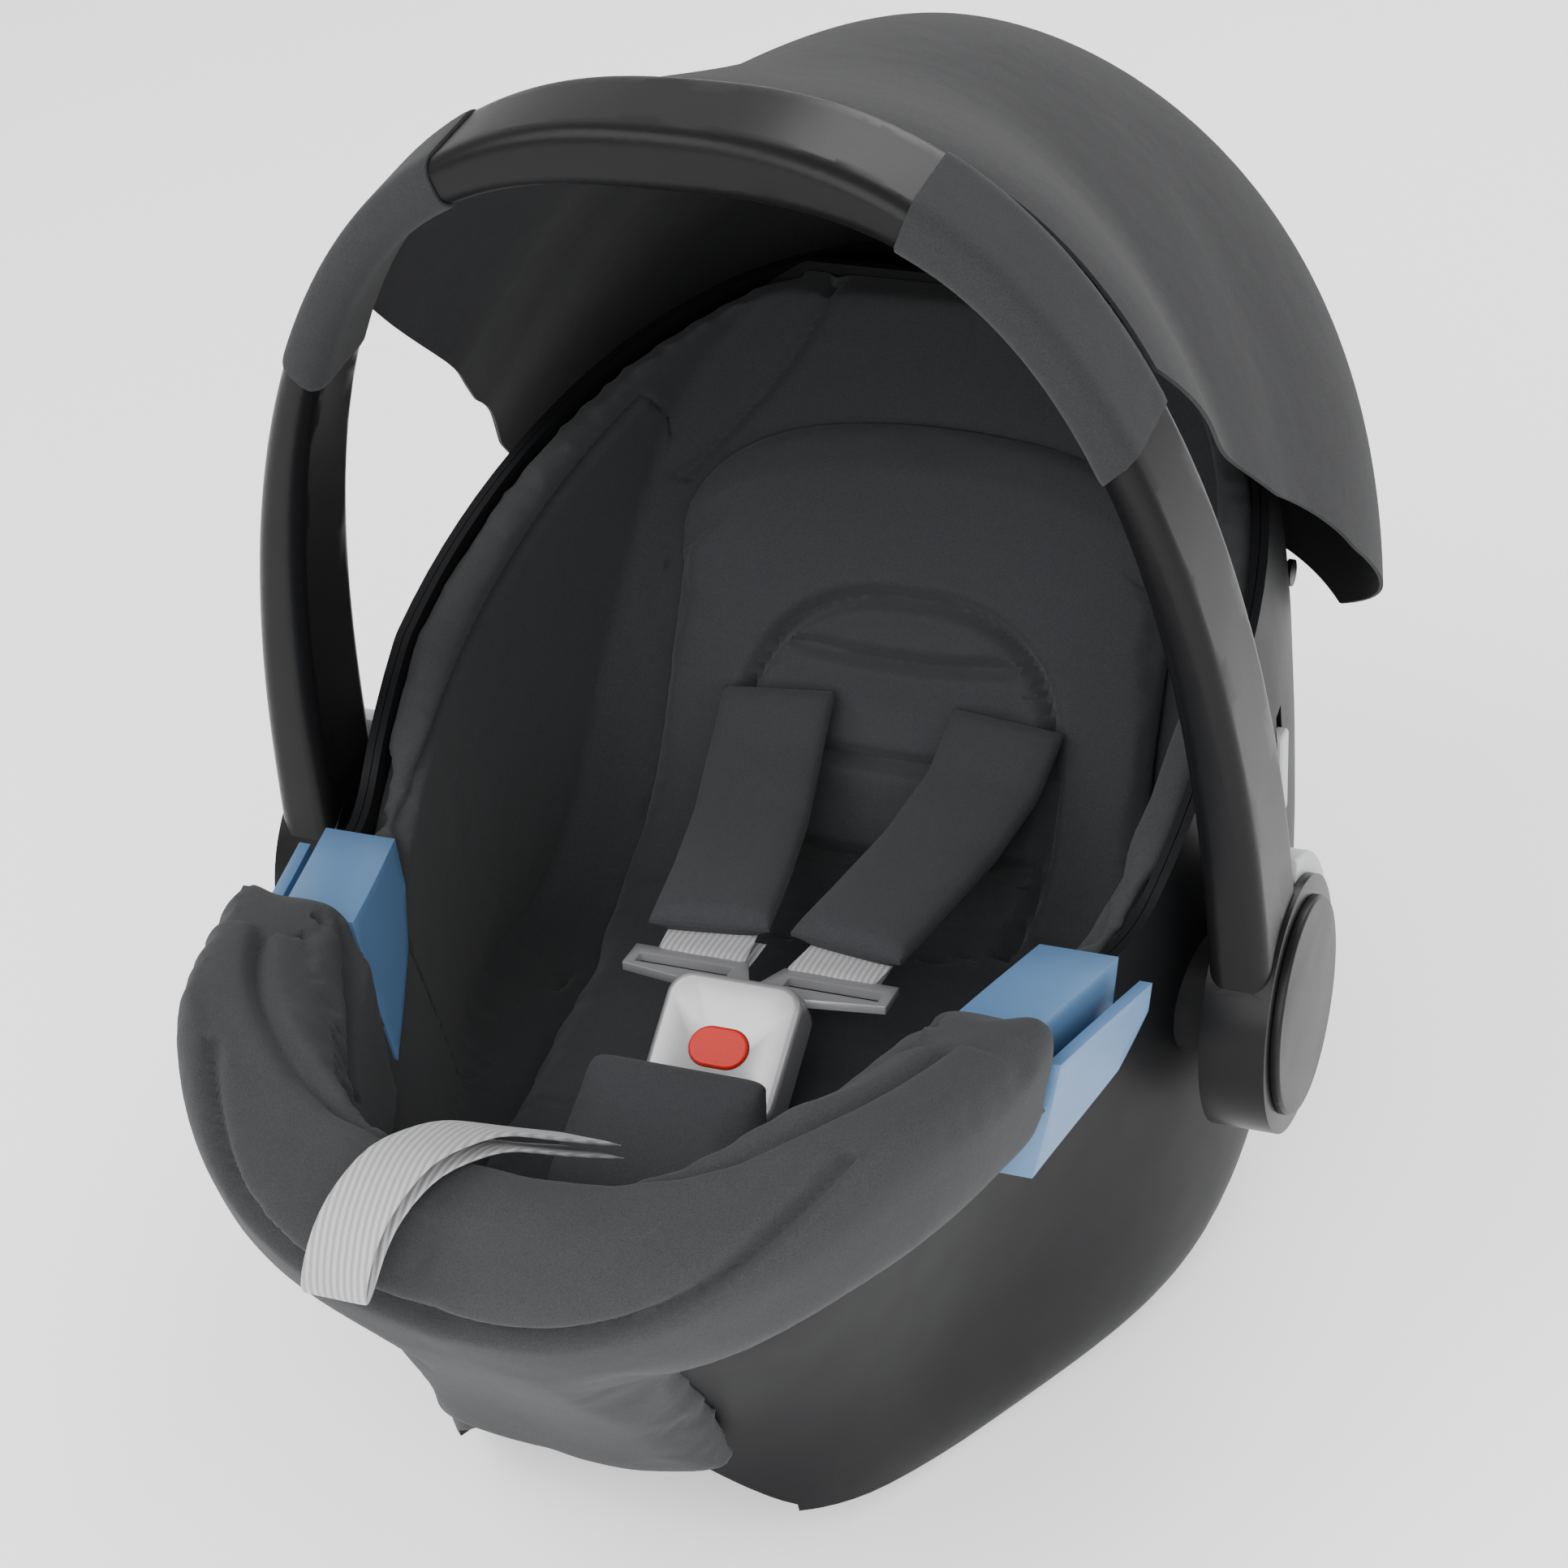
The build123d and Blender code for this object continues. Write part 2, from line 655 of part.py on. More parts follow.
strap_z = 160.0
eye_y = (-67.4, -55.0)              # the sewn eye at the strap's end, round the tongue's bar
bar_y = (-65.0, -59.0)
tongue_thick = 3.0
strap_line = [(eye_y[1] - 1.0, strap_z), (68.0, strap_z), (103.0, slot_z), (178.0, slot_z)]
strap_radii = [25.0, 16.0]
strap_plan = [(strap_spread, -90.0), (slot_spread, 112.0), (slot_spread, 260.0)]
pad_width = 50.0
pad_thick = 10.0
pad_y = (-46.0, 88.0)
yoke_gap = 0.3
eye_reach = tongue_thick / 2 + 0.4

with BuildPart() as shoulder_strap:
    add(band_prism(strap_line, strap_radii, web_thick))
    add(block((-320, 320), eye_y, (strap_z - eye_reach - web_thick, strap_z + eye_reach + web_thick)))
    add(block((-320, 320), (eye_y[0] + web_thick, eye_y[1] - web_thick),
              (strap_z - eye_reach, strap_z + eye_reach)),
        mode=Mode.SUBTRACT)
    add(plan_strip(strap_plan, web_width), mode=Mode.INTERSECT)
save_pair(shoulder_strap.part, "shoulder_strap")

with BuildPart() as strap_room:
    add(band_prism(strap_line, strap_radii, web_thick + 0.8))
    add(plan_strip(strap_plan, web_width + 1.2), mode=Mode.INTERSECT)

with BuildPart() as shoulder_pad:
    add(band_prism(strap_line, strap_radii, pad_thick))
    add(plan_strip(strap_plan, pad_width), mode=Mode.INTERSECT)
    add(block((-320, 320), pad_y, (0, 400)), mode=Mode.INTERSECT)
    add(strap_room.part, mode=Mode.SUBTRACT)
save_pair(shoulder_pad.part, "shoulder_pad")

with BuildPart() as harness_yoke:
    add(block((-slot_spread - web_width / 2 - 7, slot_spread + web_width / 2 + 7),
              (strap_line[-1][0] + yoke_gap, strap_line[-1][0] + yoke_gap + 3.0), (slot_z - 14, slot_z + 14)))
    fillet(harness_yoke.edges().filter_by(Axis.Y), radius=8.0)
save(harness_yoke.part, "harness_yoke")

# ---- buckle, its button and the two tongues ---------------------------------------------------
tilt = radians(buckle_tilt)
buckle_plane = Plane(origin=buckle_centre, x_dir=(1, 0, 0), z_dir=(0, -sin(tilt), cos(tilt)))
buckle_wide, buckle_long, buckle_thick = buckle_size
button_thick_n = 7.0
button_proud = 1.6
button_top_n = buckle_thick / 2 + button_proud
button_fit = 0.3
pocket_floor_n = button_top_n - button_thick_n - red_button_travel - 0.6
buckle_spring_r = 3.0
buckle_wire = 0.6
buckle_well_n = -7.6
tongue_slot_y = (-72.0, -65.0)
tongue_tip_y = -90.0
tongue_tip_x = (1.4, 22.0)
mouth_half = 24.0
crotch_line = [(crotch_y, 70.0), (crotch_y, 112.2), (crotch_y + 24.2, 130.4)]

with BuildPart() as buckle_mouth:
    add(block((-mouth_half, mouth_half), (tongue_tip_y - 1.5, -60.0),
              (strap_z - tongue_thick / 2 - 0.4, strap_z + tongue_thick / 2 + 0.4)))

with BuildPart() as crotch_room:
    add(band_prism(crotch_line, [6.0], web_thick + 0.8, (web_width + 1.2) / 2))

with BuildPart() as buckle_body:
    with BuildSketch(buckle_plane.offset(-buckle_thick / 2)):
        RectangleRounded(buckle_wide, buckle_long, 11.0)
    extrude(amount=buckle_thick)
    fillet(buckle_body.faces().filter_by(buckle_plane).edges(), radius=3.0)
    with BuildSketch(buckle_plane.offset(pocket_floor_n)):
        SlotOverall(red_button_size[0] + 2 * button_fit, red_button_size[1] + 2 * button_fit)
    extrude(amount=buckle_thick, mode=Mode.SUBTRACT)
    with BuildSketch(buckle_plane.offset(buckle_well_n)):
        Circle(buckle_spring_r + buckle_wire + 0.4)
    extrude(amount=buckle_thick / 2, mode=Mode.SUBTRACT)
    add(buckle_mouth.part, mode=Mode.SUBTRACT)
    add(crotch_room.part, mode=Mode.SUBTRACT)
save(buckle_body.part, "buckle_body")

with BuildPart() as buckle_button:
    with BuildSketch(buckle_plane.offset(button_top_n - button_thick_n)):
        SlotOverall(*red_button_size)
    extrude(amount=button_thick_n)
    fillet(buckle_button.faces().filter_by(buckle_plane).edges(), radius=1.2)
save(buckle_button.part, "buckle_button")

buckle_coil_height = button_top_n - button_thick_n - buckle_well_n - 2 * buckle_wire - 0.6
buckle_spring = (buckle_plane.offset(buckle_well_n + buckle_wire + 0.3).location
                 * coil(buckle_spring_r, buckle_wire, buckle_coil_height, 2.8))
save(buckle_spring, "buckle_spring")

bar_x = strap_spread + (slot_spread - strap_spread) * (bar_y[0] + 90.0) / 202.0
with BuildPart() as tongue:
    with BuildSketch(Plane.XY.offset(strap_z - tongue_thick / 2)) as tongue_outline:
        with BuildLine():
            Polyline((tongue_tip_x[0], tongue_tip_y), (tongue_tip_x[1], tongue_tip_y),
                     (tongue_tip_x[1] + 2.0, -79.0),
                     (bar_x + 24.5, tongue_slot_y[0] - 2.0), (bar_x + 24.5, bar_y[1]),
                     (bar_x - 24.5, bar_y[1]),
                     (tongue_tip_x[0], tongue_slot_y[0] - 3.0), close=True)
        make_face()
        with Locations((bar_x, (tongue_slot_y[0] + tongue_slot_y[1]) / 2)):
            Rectangle(web_width + 3.0, tongue_slot_y[1] - tongue_slot_y[0], mode=Mode.SUBTRACT)
    extrude(amount=tongue_thick)
save_pair(tongue.part, "tongue")

# ---- crotch strap, its anchor plate and its pad -----------------------------------------------
with BuildPart() as crotch_strap:
    add(band_prism(crotch_line, [6.0], web_thick, web_width / 2))
save(crotch_strap.part, "crotch_strap")

anchor_z = (79.6, 82.6)
with BuildPart() as crotch_anchor:
    add(block((-34, 34), (crotch_y - 11, crotch_y + 11), anchor_z))
    add(block((-web_width / 2 - 0.6, web_width / 2 + 0.6),
              (crotch_y - web_thick / 2 - 0.4, crotch_y + web_thick / 2 + 0.4),
              (60, 100)), mode=Mode.SUBTRACT)
save(crotch_anchor.part, "crotch_anchor")

crotch_pad_width = 75.0
crotch_pad_outline = [(-152.4, 100.0), (-148.4, 150.0), (-143.5, 166.0), (-150.0, 172.0), (-196.0, 147.0),
                      (-206.0, 134.0),
                      (-210.0, 100.0)]
crotch_pad_radii = [((-143.5, 166.0), 3.0), ((-150.0, 172.0), 5.0), ((-196.0, 147.0), 10.0)]
with BuildPart() as crotch_pad:
    add(side_prism(crotch_pad_outline, crotch_pad_radii, crotch_pad_width / 2))
    add(seat_air(insert_top + layer_gap), mode=Mode.INTERSECT)
save(crotch_pad.part, "crotch_pad")

# ---- harness adjuster on the front slope, with its pull strap ---------------------------------
adjuster_button_size = (24.0, 15.0, 7.0)
adjuster_button_travel = 3.0
adjuster_top = adjuster_size[2] + 0.3
adjuster_button_s = -9.0
adjuster_floor = adjuster_top - 5.4 - adjuster_button_travel - 0.6
adjuster_spring_r = 2.6
adjuster_wire = 0.5
adjuster_well = 1.6


def on_slope(along, lift):
    """A point (y, z) on the front slope: along it from the adjuster's middle, and lifted off the bucket."""
    return (adjuster_y + cos(slope) * along + sin(slope) * lift,
            adjuster_z + sin(slope) * along - cos(slope) * lift)


pull_thick = 3.4
pull_line = [on_slope(3.0, 8.0), on_slope(15.0, 17.8), on_slope(56.0, 17.8), (-338.0, 208.5), (-338.0, 150.0)]
pull_radii = [8.0, 12.0, 9.0]
pull_drift = -30.0          # the free end hangs this far to one side
button_spot = (0, on_slope(adjuster_button_s, 0)[0], on_slope(adjuster_button_s, 0)[1])
adjuster_button_plane = Plane(origin=button_spot, x_dir=(1, 0, 0), z_dir=adjuster_plane.z_dir)

with BuildPart() as pull_room:
    add(band_prism(pull_line, pull_radii, pull_thick + 1.0, web_width / 2 + 1.0))

with BuildPart() as adjuster_housing:
    with BuildSketch(adjuster_plane.offset(0.3)):
        RectangleRounded(adjuster_size[0], adjuster_size[1], 6.0)
    extrude(amount=adjuster_size[2])
    with BuildSketch(adjuster_button_plane.offset(adjuster_floor)):
        RectangleRounded(adjuster_button_size[0] + 0.6, adjuster_button_size[1] + 0.6, 3.3)
    extrude(amount=40.0, mode=Mode.SUBTRACT)
    with BuildSketch(adjuster_button_plane.offset(adjuster_well)):
        Circle(adjuster_spring_r + adjuster_wire + 0.4)
    extrude(amount=10.0, mode=Mode.SUBTRACT)
    add(pull_room.part, mode=Mode.SUBTRACT)
save(adjuster_housing.part, "adjuster_housing")

adjuster_button_low = adjuster_top - 5.4
with BuildPart() as adjuster_button:
    with BuildSketch(adjuster_button_plane.offset(adjuster_button_low)):
        RectangleRounded(adjuster_button_size[0], adjuster_button_size[1], 3.0)
    extrude(amount=adjuster_button_size[2])
    fillet(adjuster_button.faces().sort_by(Axis.Z)[-1].edges(), radius=1.0)
save(adjuster_button.part, "adjuster_button")

adjuster_coil_height = adjuster_button_low - adjuster_well - 2 * adjuster_wire - 0.5
adjuster_spring = (adjuster_button_plane.offset(adjuster_well + adjuster_wire + 0.25).location
                   * coil(adjuster_spring_r, adjuster_wire, adjuster_coil_height, 2.2))
save(adjuster_spring, "adjuster_spring")

with BuildPart() as pull_strap:
    add(band_prism(pull_line, pull_radii, pull_thick))
    add(plan_strip([(0, -230.0), (0, -290.0), (pull_drift, -335.0), (pull_drift, -350.0)], web_width),
        mode=Mode.INTERSECT)
save(pull_strap.part, "pull_strap")

# ---- canopy: a fabric dome between fans of hoops, cut along its hem ---------------------------
canopy_hoops = [(94.0, 369.0), (80.0, 369.0), (67.0, 378.0), (54.0, 388.0), (40.0, 384.0), (27.0, 366.0),
                (14.0, 344.0)]
canopy_foot_r = 210.0
hem_low = (228.0, 204.0)
hem_high = (-100.0, 480.0)


def hoop_points(radius, half_width, foot, count=12):
    """Points along one hoop, from +X over the top to -X, starting at the foot's distance from the pivot."""
    start = asin((foot / radius) ** (canopy_power / 2))
    quarter = []
    for i in range(count + 1):
        angle = start + (pi / 2 - start) * i / count
        quarter.append((half_width * abs(cos(angle)) ** (2 / canopy_power),
                        radius * sin(angle) ** (2 / canopy_power)))
    quarter[-1] = (0.0, radius)
    return quarter + [(-x, r) for x, r in quarter[-2::-1]]


def dome(shrink, foot):
    """The canopy as a filled body, pulled in by an amount."""
    with BuildPart() as body:
        for degrees_up, radius in canopy_hoops:
            a = radians(degrees_up)
            with BuildSketch(Plane(origin=(0, pivot_y, pivot_z), x_dir=(1, 0, 0),
                                   z_dir=(0, -sin(a), cos(a)))):
                with BuildLine():
                    points = hoop_points(radius - shrink, canopy_half_width - shrink, foot)
                    Spline(*points)
                    Line(points[-1], points[0])
                make_face()
        loft()
    return body.part


canopy_front = [(hem_high[0], hem_high[1]), (hem_low[0], hem_low[1]), (600.0, -109.0), (600.0, 700.0),
                (-100.0, 700.0)]
with BuildPart() as canopy:
    add(dome(0, canopy_foot_r))
    add(dome(canopy_thick, canopy_foot_r - 30.0), mode=Mode.SUBTRACT)
    add(side_prism(canopy_front, []), mode=Mode.INTERSECT)
save(canopy.part, "canopy")

sleeve_gap = 0.4
sleeve_thick = 2.0
sleeve_x = (94.0, 156.0)
with BuildPart() as canopy_sleeve:
    add(arch_band(sleeve_gap + sleeve_thick))
    add(block(sleeve_x, (-300.0, 300.0), (400.0, 700.0)), mode=Mode.INTERSECT)
    add(arch_band(sleeve_gap), mode=Mode.SUBTRACT)
save_pair(canopy_sleeve.part, "canopy_sleeve")

with BuildPart() as canopy_snap:
    add(disc_x(snap_radius, snap_inner_x, snap_face_x + snap_head, snap_y, snap_z))
    add(disc_x(2 * snap_radius, snap_face_x, snap_face_x + snap_head, snap_y, snap_z))
save_pair(canopy_snap.part, "canopy_snap")

# ---- small elastic loop sewn to the head of the cover -----------------------------------------
loop_x = 48.0
loop_along = 325.0 - seat_back_low[1]
loop_cord = 1.2
loop_radius = 11.0
back_rise = atan2(seat_head_top[1] - seat_back_low[1], seat_head_top[0] - seat_back_low[0])
loop_lift = cover_depth + layer_gap + loop_cord
loop_spot = (loop_x, seat_back_low[0] + loop_along / tan(back_rise) - loop_lift * sin(back_rise),
             seat_back_low[1] + loop_along + loop_lift * cos(back_rise))
with BuildPart(Plane(origin=loop_spot, x_dir=(1, 0, 0),
                     z_dir=(0, -sin(back_rise), cos(back_rise)))) as elastic_loop:
    Torus(loop_radius, loop_cord)
save(elastic_loop.part, "elastic_loop")
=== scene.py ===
"""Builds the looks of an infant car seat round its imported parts: padded covers, canopy, webbing and finishes."""

import json
import math

import bpy
import numpy as np
from mathutils import Matrix, Vector


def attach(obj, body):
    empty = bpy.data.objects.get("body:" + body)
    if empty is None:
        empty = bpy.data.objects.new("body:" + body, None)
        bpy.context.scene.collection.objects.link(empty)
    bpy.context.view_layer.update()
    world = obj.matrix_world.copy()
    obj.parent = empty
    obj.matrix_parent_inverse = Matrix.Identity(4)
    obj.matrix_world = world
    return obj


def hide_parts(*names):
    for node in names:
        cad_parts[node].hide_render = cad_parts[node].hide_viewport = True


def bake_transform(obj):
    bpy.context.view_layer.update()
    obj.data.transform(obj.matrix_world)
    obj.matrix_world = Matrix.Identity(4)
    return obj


bl_info = {
    "name": "Infant car seat looks",
    "version": (1, 0, 0),
    "blender": (4, 5, 0),
    "location": "3D View > Sidebar > Car Seat",
    "description": "Padded covers, canopy, webbing and finishes for an infant car seat",
    "category": "Object",
}

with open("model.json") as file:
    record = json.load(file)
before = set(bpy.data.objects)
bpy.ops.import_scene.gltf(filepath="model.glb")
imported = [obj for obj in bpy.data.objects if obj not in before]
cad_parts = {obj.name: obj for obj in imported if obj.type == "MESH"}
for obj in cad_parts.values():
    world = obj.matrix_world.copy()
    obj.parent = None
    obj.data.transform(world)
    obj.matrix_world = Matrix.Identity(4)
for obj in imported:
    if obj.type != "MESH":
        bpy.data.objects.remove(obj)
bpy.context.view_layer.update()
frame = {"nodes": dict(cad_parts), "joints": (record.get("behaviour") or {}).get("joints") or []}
SIDES = (("right", 1), ("left", -1))
PIVOT = Vector(next(j for j in frame["joints"] if j["name"] == "handle_fold")["pos_m"])


# ---- small tools ------------------------------------------------------------------------------
def pick(obj):
    """Makes obj the only selected and active object."""
    bpy.ops.object.select_all(action="DESELECT")
    obj.select_set(True)
    bpy.context.view_layer.objects.active = obj
    return obj


def copy_nodes(name, *nodes):
    """A new object with the joined and merged meshes of some CAD nodes."""
    copies = []
    for node in nodes:
        twin = frame["nodes"][node].copy()
        twin.data = twin.data.copy()
        twin.parent = None
        twin.modifiers.clear()
        twin.hide_render = twin.hide_viewport = False
        bpy.context.scene.collection.objects.link(twin)
        copies.append(twin)
    pick(copies[0])
    for twin in copies[1:]:
        twin.select_set(True)
    if len(copies) > 1:
        bpy.ops.object.join()
    made = copies[0]
    made.name = made.data.name = name
    made.data.materials.clear()
    bpy.ops.object.mode_set(mode="EDIT")
    bpy.ops.mesh.select_all(action="SELECT")
    bpy.ops.mesh.remove_doubles(threshold=0.00002)
    bpy.ops.object.mode_set(mode="OBJECT")
    return made


def apply_modifier(obj, kind, **settings):
    """Adds a modifier of a kind, with settings, and applies it."""
    pick(obj)
    modifier = obj.modifiers.new(kind.lower(), kind)
    for key, value in settings.items():
        setattr(modifier, key, value)
    bpy.ops.object.modifier_apply(modifier=modifier.name)


def fatten(obj, amount):
    """Moves every face out along its normal."""
    pick(obj)
    bpy.ops.object.mode_set(mode="EDIT")
    bpy.ops.mesh.select_all(action="SELECT")
    bpy.ops.transform.shrink_fatten(value=amount)
    bpy.ops.object.mode_set(mode="OBJECT")


def points_of(obj):
    """The vertices and their normals as two arrays."""
    count = len(obj.data.vertices)
    spots, normals = np.empty(count * 3), np.empty(count * 3)
    obj.data.vertices.foreach_get("co", spots)
    obj.data.vertices.foreach_get("normal", normals)
    return spots.reshape(-1, 3), normals.reshape(-1, 3)


def put_points(obj, spots):
    """Writes the vertices back."""
    obj.data.vertices.foreach_set("co", np.ascontiguousarray(spots, dtype=float).ravel())
    obj.data.update()


def inflate(obj, voxel, pressure, cap, smooth=3, shape=None, cutters=()):
    """Remeshes a soft body evenly, shapes it, swells it as cloth and keeps each point near where it was."""
    apply_modifier(obj, "REMESH", mode="VOXEL", voxel_size=voxel)
    apply_modifier(obj, "SMOOTH", factor=0.5, iterations=smooth)
    if shape:
        put_points(obj, shape(*points_of(obj)))
    for cutter in cutters:
        apply_modifier(obj, "BOOLEAN", operation="DIFFERENCE", solver="EXACT", object=cutter)
        bpy.data.objects.remove(cutter)
    if cutters:
        apply_modifier(obj, "REMESH", mode="VOXEL", voxel_size=voxel)
        apply_modifier(obj, "SMOOTH", factor=0.5, iterations=4)
    start, _ = points_of(obj)
    cloth = obj.modifiers.new("cloth", "CLOTH")
    cloth.settings.quality = 4
    cloth.settings.use_pressure = True
    cloth.settings.uniform_pressure_force = pressure
    cloth.settings.effector_weights.gravity = 0
    cloth.settings.tension_stiffness = 20
    cloth.settings.compression_stiffness = 20
    for number in range(1, 16):
        bpy.context.scene.frame_set(number)
    pick(obj)
    bpy.ops.object.modifier_apply(modifier=cloth.name)
    bpy.context.scene.frame_set(1)
    spots, _ = points_of(obj)
    move = spots - start
    far = np.linalg.norm(move, axis=1, keepdims=True)
    put_points(obj, start + move * np.minimum(1.0, cap / np.maximum(far, 1e-9)))
    apply_modifier(obj, "SUBSURF", levels=1, render_levels=1)
    return obj


def press_seams(obj, distances, depth, width, bulge=0.0, reach=0.02):
    """Pulls the surface in along sewn lines, where a row of distances comes near nought, and fills it out beside them."""
    spots, normals = points_of(obj)
    pull, swell = np.zeros(len(spots)), np.zeros(len(spots))
    for distance in distances:
        pull = np.maximum(pull, np.exp(-((distance / width) ** 2)))
        near = np.exp(-((distance / reach) ** 2))
        swell = np.maximum(swell, near * (1 - np.exp(-((distance / width) ** 2))))
    put_points(obj, spots + normals * (bulge * swell - depth * pull)[:, None])


def band(name, path, width, thick, roundness=8.0, cuts=40, end_roundness=40.0):
    """A strap or pad of even width that follows a path of points, flat across X."""
    bpy.ops.object.select_all(action="DESELECT")
    bpy.ops.mesh.primitive_cube_add(size=2)
    strap = bpy.context.active_object
    strap.name = strap.data.name = name
    bpy.ops.object.mode_set(mode="EDIT")
    bpy.ops.mesh.select_all(action="SELECT")
    bpy.ops.mesh.subdivide(number_cuts=cuts)
    bpy.ops.object.mode_set(mode="OBJECT")
    spots, _ = points_of(strap)
    knots = np.array(path)
    gaps = np.concatenate([[0], np.cumsum(np.linalg.norm(np.diff(knots, axis=0), axis=1))])
    fine = np.linspace(0, gaps[-1], 200)
    line = np.stack([np.interp(fine, gaps, knots[:, k]) for k in range(3)], 1)
    for _ in range(60):
        line[1:-1] = (line[:-2] + 2 * line[1:-1] + line[2:]) / 4
    along = (spots[:, 0] + 1) / 2 * (len(line) - 1)
    steps = np.arange(len(line))
    centre = np.stack([np.interp(along, steps, line[:, k]) for k in range(3)], 1)
    slope = np.gradient(line, axis=0)
    slope = np.stack([np.interp(along, steps, slope[:, k]) for k in range(3)], 1)
    slope /= np.linalg.norm(slope, axis=1, keepdims=True)
    side = np.array([1.0, 0, 0]) - slope * slope[:, :1]
    side /= np.linalg.norm(side, axis=1, keepdims=True)
    up = np.cross(side, slope)
    across, high = spots[:, 1], spots[:, 2]
    edge = np.clip(1 - np.abs(across) ** roundness, 0, 1) ** 0.5
    tip = np.clip(1 - np.abs(spots[:, 0]) ** end_roundness, 0, 1) ** 0.5
    lift = high * (0.12 + 0.88 * edge * tip)
    put_points(strap, centre + side * (across * width / 2)[:, None] + up * (lift * thick / 2)[:, None])
    bpy.ops.object.mode_set(mode="EDIT")
    bpy.ops.mesh.select_all(action="SELECT")
    bpy.ops.mesh.normals_make_consistent(inside=False)
    bpy.ops.object.mode_set(mode="OBJECT")
    return strap


def finish_piece(obj, material, body, nodes=(), angle=40.0):
    """Smooths a piece, gives it its material and body, and hides the CAD nodes it stands for."""
    pick(obj)
    bpy.ops.object.shade_smooth_by_angle(angle=math.radians(angle))
    obj.data.materials.clear()
    obj.data.materials.append(material)
    if body:
        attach(obj, body)
    if nodes:
        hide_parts(*nodes)
    return obj


def smoothstep(value, low, high):
    """0 below low, 1 above high, eased between."""
    t = np.clip((value - low) / (high - low), 0.0, 1.0)
    return t * t * (3 - 2 * t)


# ---- materials ----------------------------------------------------------------------------------
def new_material(name, colour, roughness):
    """A material with its shader, ready for more nodes."""
    material = bpy.data.materials.get(name)
    if material:
        return material, None, None
    material = bpy.data.materials.new(name)
    material.use_nodes = True
    shader = material.node_tree.nodes["Principled BSDF"]
    shader.inputs["Base Color"].default_value = (*colour, 1)
    shader.inputs["Roughness"].default_value = roughness
    return material, shader, material.node_tree


def link_noise(tree, scale, detail=2.0, kind="ShaderNodeTexNoise"):
    """A noise or cell texture on the piece's own coordinates."""
    coords = tree.nodes.new("ShaderNodeTexCoord")
    texture = tree.nodes.new(kind)
    texture.inputs["Scale"].default_value = scale
    if kind == "ShaderNodeTexNoise":
        texture.inputs["Detail"].default_value = detail
    tree.links.new(coords.outputs["Object"], texture.inputs["Vector"])
    return texture


def add_bump(tree, shader, output, strength, distance, before=None):
    """Bumps the shader's surface by a texture's output."""
    bump = tree.nodes.new("ShaderNodeBump")
    bump.inputs["Strength"].default_value = strength
    bump.inputs["Distance"].default_value = distance
    tree.links.new(output, bump.inputs["Height"])
    if before:
        tree.links.new(before.outputs["Normal"], bump.inputs["Normal"])
    tree.links.new(bump.outputs["Normal"], shader.inputs["Normal"])
    return bump


def mix_colours(tree, factor, low, high, low_at=0.35, high_at=0.65):
    """A ramp between two colours, driven by a texture's output."""
    ramp = tree.nodes.new("ShaderNodeValToRGB")
    ramp.color_ramp.elements[0].position = low_at
    ramp.color_ramp.elements[0].color = (*low, 1)
    ramp.color_ramp.elements[1].position = high_at
    ramp.color_ramp.elements[1].color = (*high, 1)
    tree.links.new(factor, ramp.inputs["Fac"])
    return ramp.outputs["Color"]


def fabric(name, colour, grain=2400.0, contrast=0.16, sheen=0.06, roughness=0.95):
    """Woven cloth: a fine speckle of two yarn colours, a soft wrinkle and a light sheen."""
    material, shader, tree = new_material(name, colour, roughness)
    if not tree:
        return material
    light = [min(1.0, c * (1 + contrast) + 0.004) for c in colour]
    dark = [c * (1 - contrast) for c in colour]
    yarn = link_noise(tree, grain, 1.0)
    tree.links.new(mix_colours(tree, yarn.outputs["Fac"], dark, light), shader.inputs["Base Color"])
    wrinkle = link_noise(tree, 16.0, 3.0)
    soft = add_bump(tree, shader, wrinkle.outputs["Fac"], 0.35, 0.006)
    add_bump(tree, shader, yarn.outputs["Fac"], 0.35, 0.0008, soft)
    shader.inputs["Sheen Weight"].default_value = sheen
    shader.inputs["Sheen Roughness"].default_value = 0.5
    shader.inputs["Specular IOR Level"].default_value = 0.2
    return material


def plastic(name, colour, roughness=0.45, grain=1400.0, strength=0.12, specular=0.5):
    """Moulded plastic with a fine eroded grain."""
    material, shader, tree = new_material(name, colour, roughness)
    if not tree:
        return material
    shader.inputs["Specular IOR Level"].default_value = specular
    spark = link_noise(tree, grain, 2.0)
    add_bump(tree, shader, spark.outputs["Fac"], strength, 0.0004)
    cloud = link_noise(tree, 30.0, 2.0)
    span = tree.nodes.new("ShaderNodeMapRange")
    span.inputs["To Min"].default_value = roughness - 0.05
    span.inputs["To Max"].default_value = roughness + 0.05
    tree.links.new(cloud.outputs["Fac"], span.inputs["Value"])
    tree.links.new(span.outputs["Result"], shader.inputs["Roughness"])
    return material


def metal(name, colour, roughness, share=1.0):
    """Bare or plated metal with faint polishing marks."""
    material, shader, tree = new_material(name, colour, roughness)
    if not tree:
        return material
    shader.inputs["Metallic"].default_value = share
    marks = link_noise(tree, 220.0, 2.0)
    add_bump(tree, shader, marks.outputs["Fac"], 0.04, 0.0003)
    return material


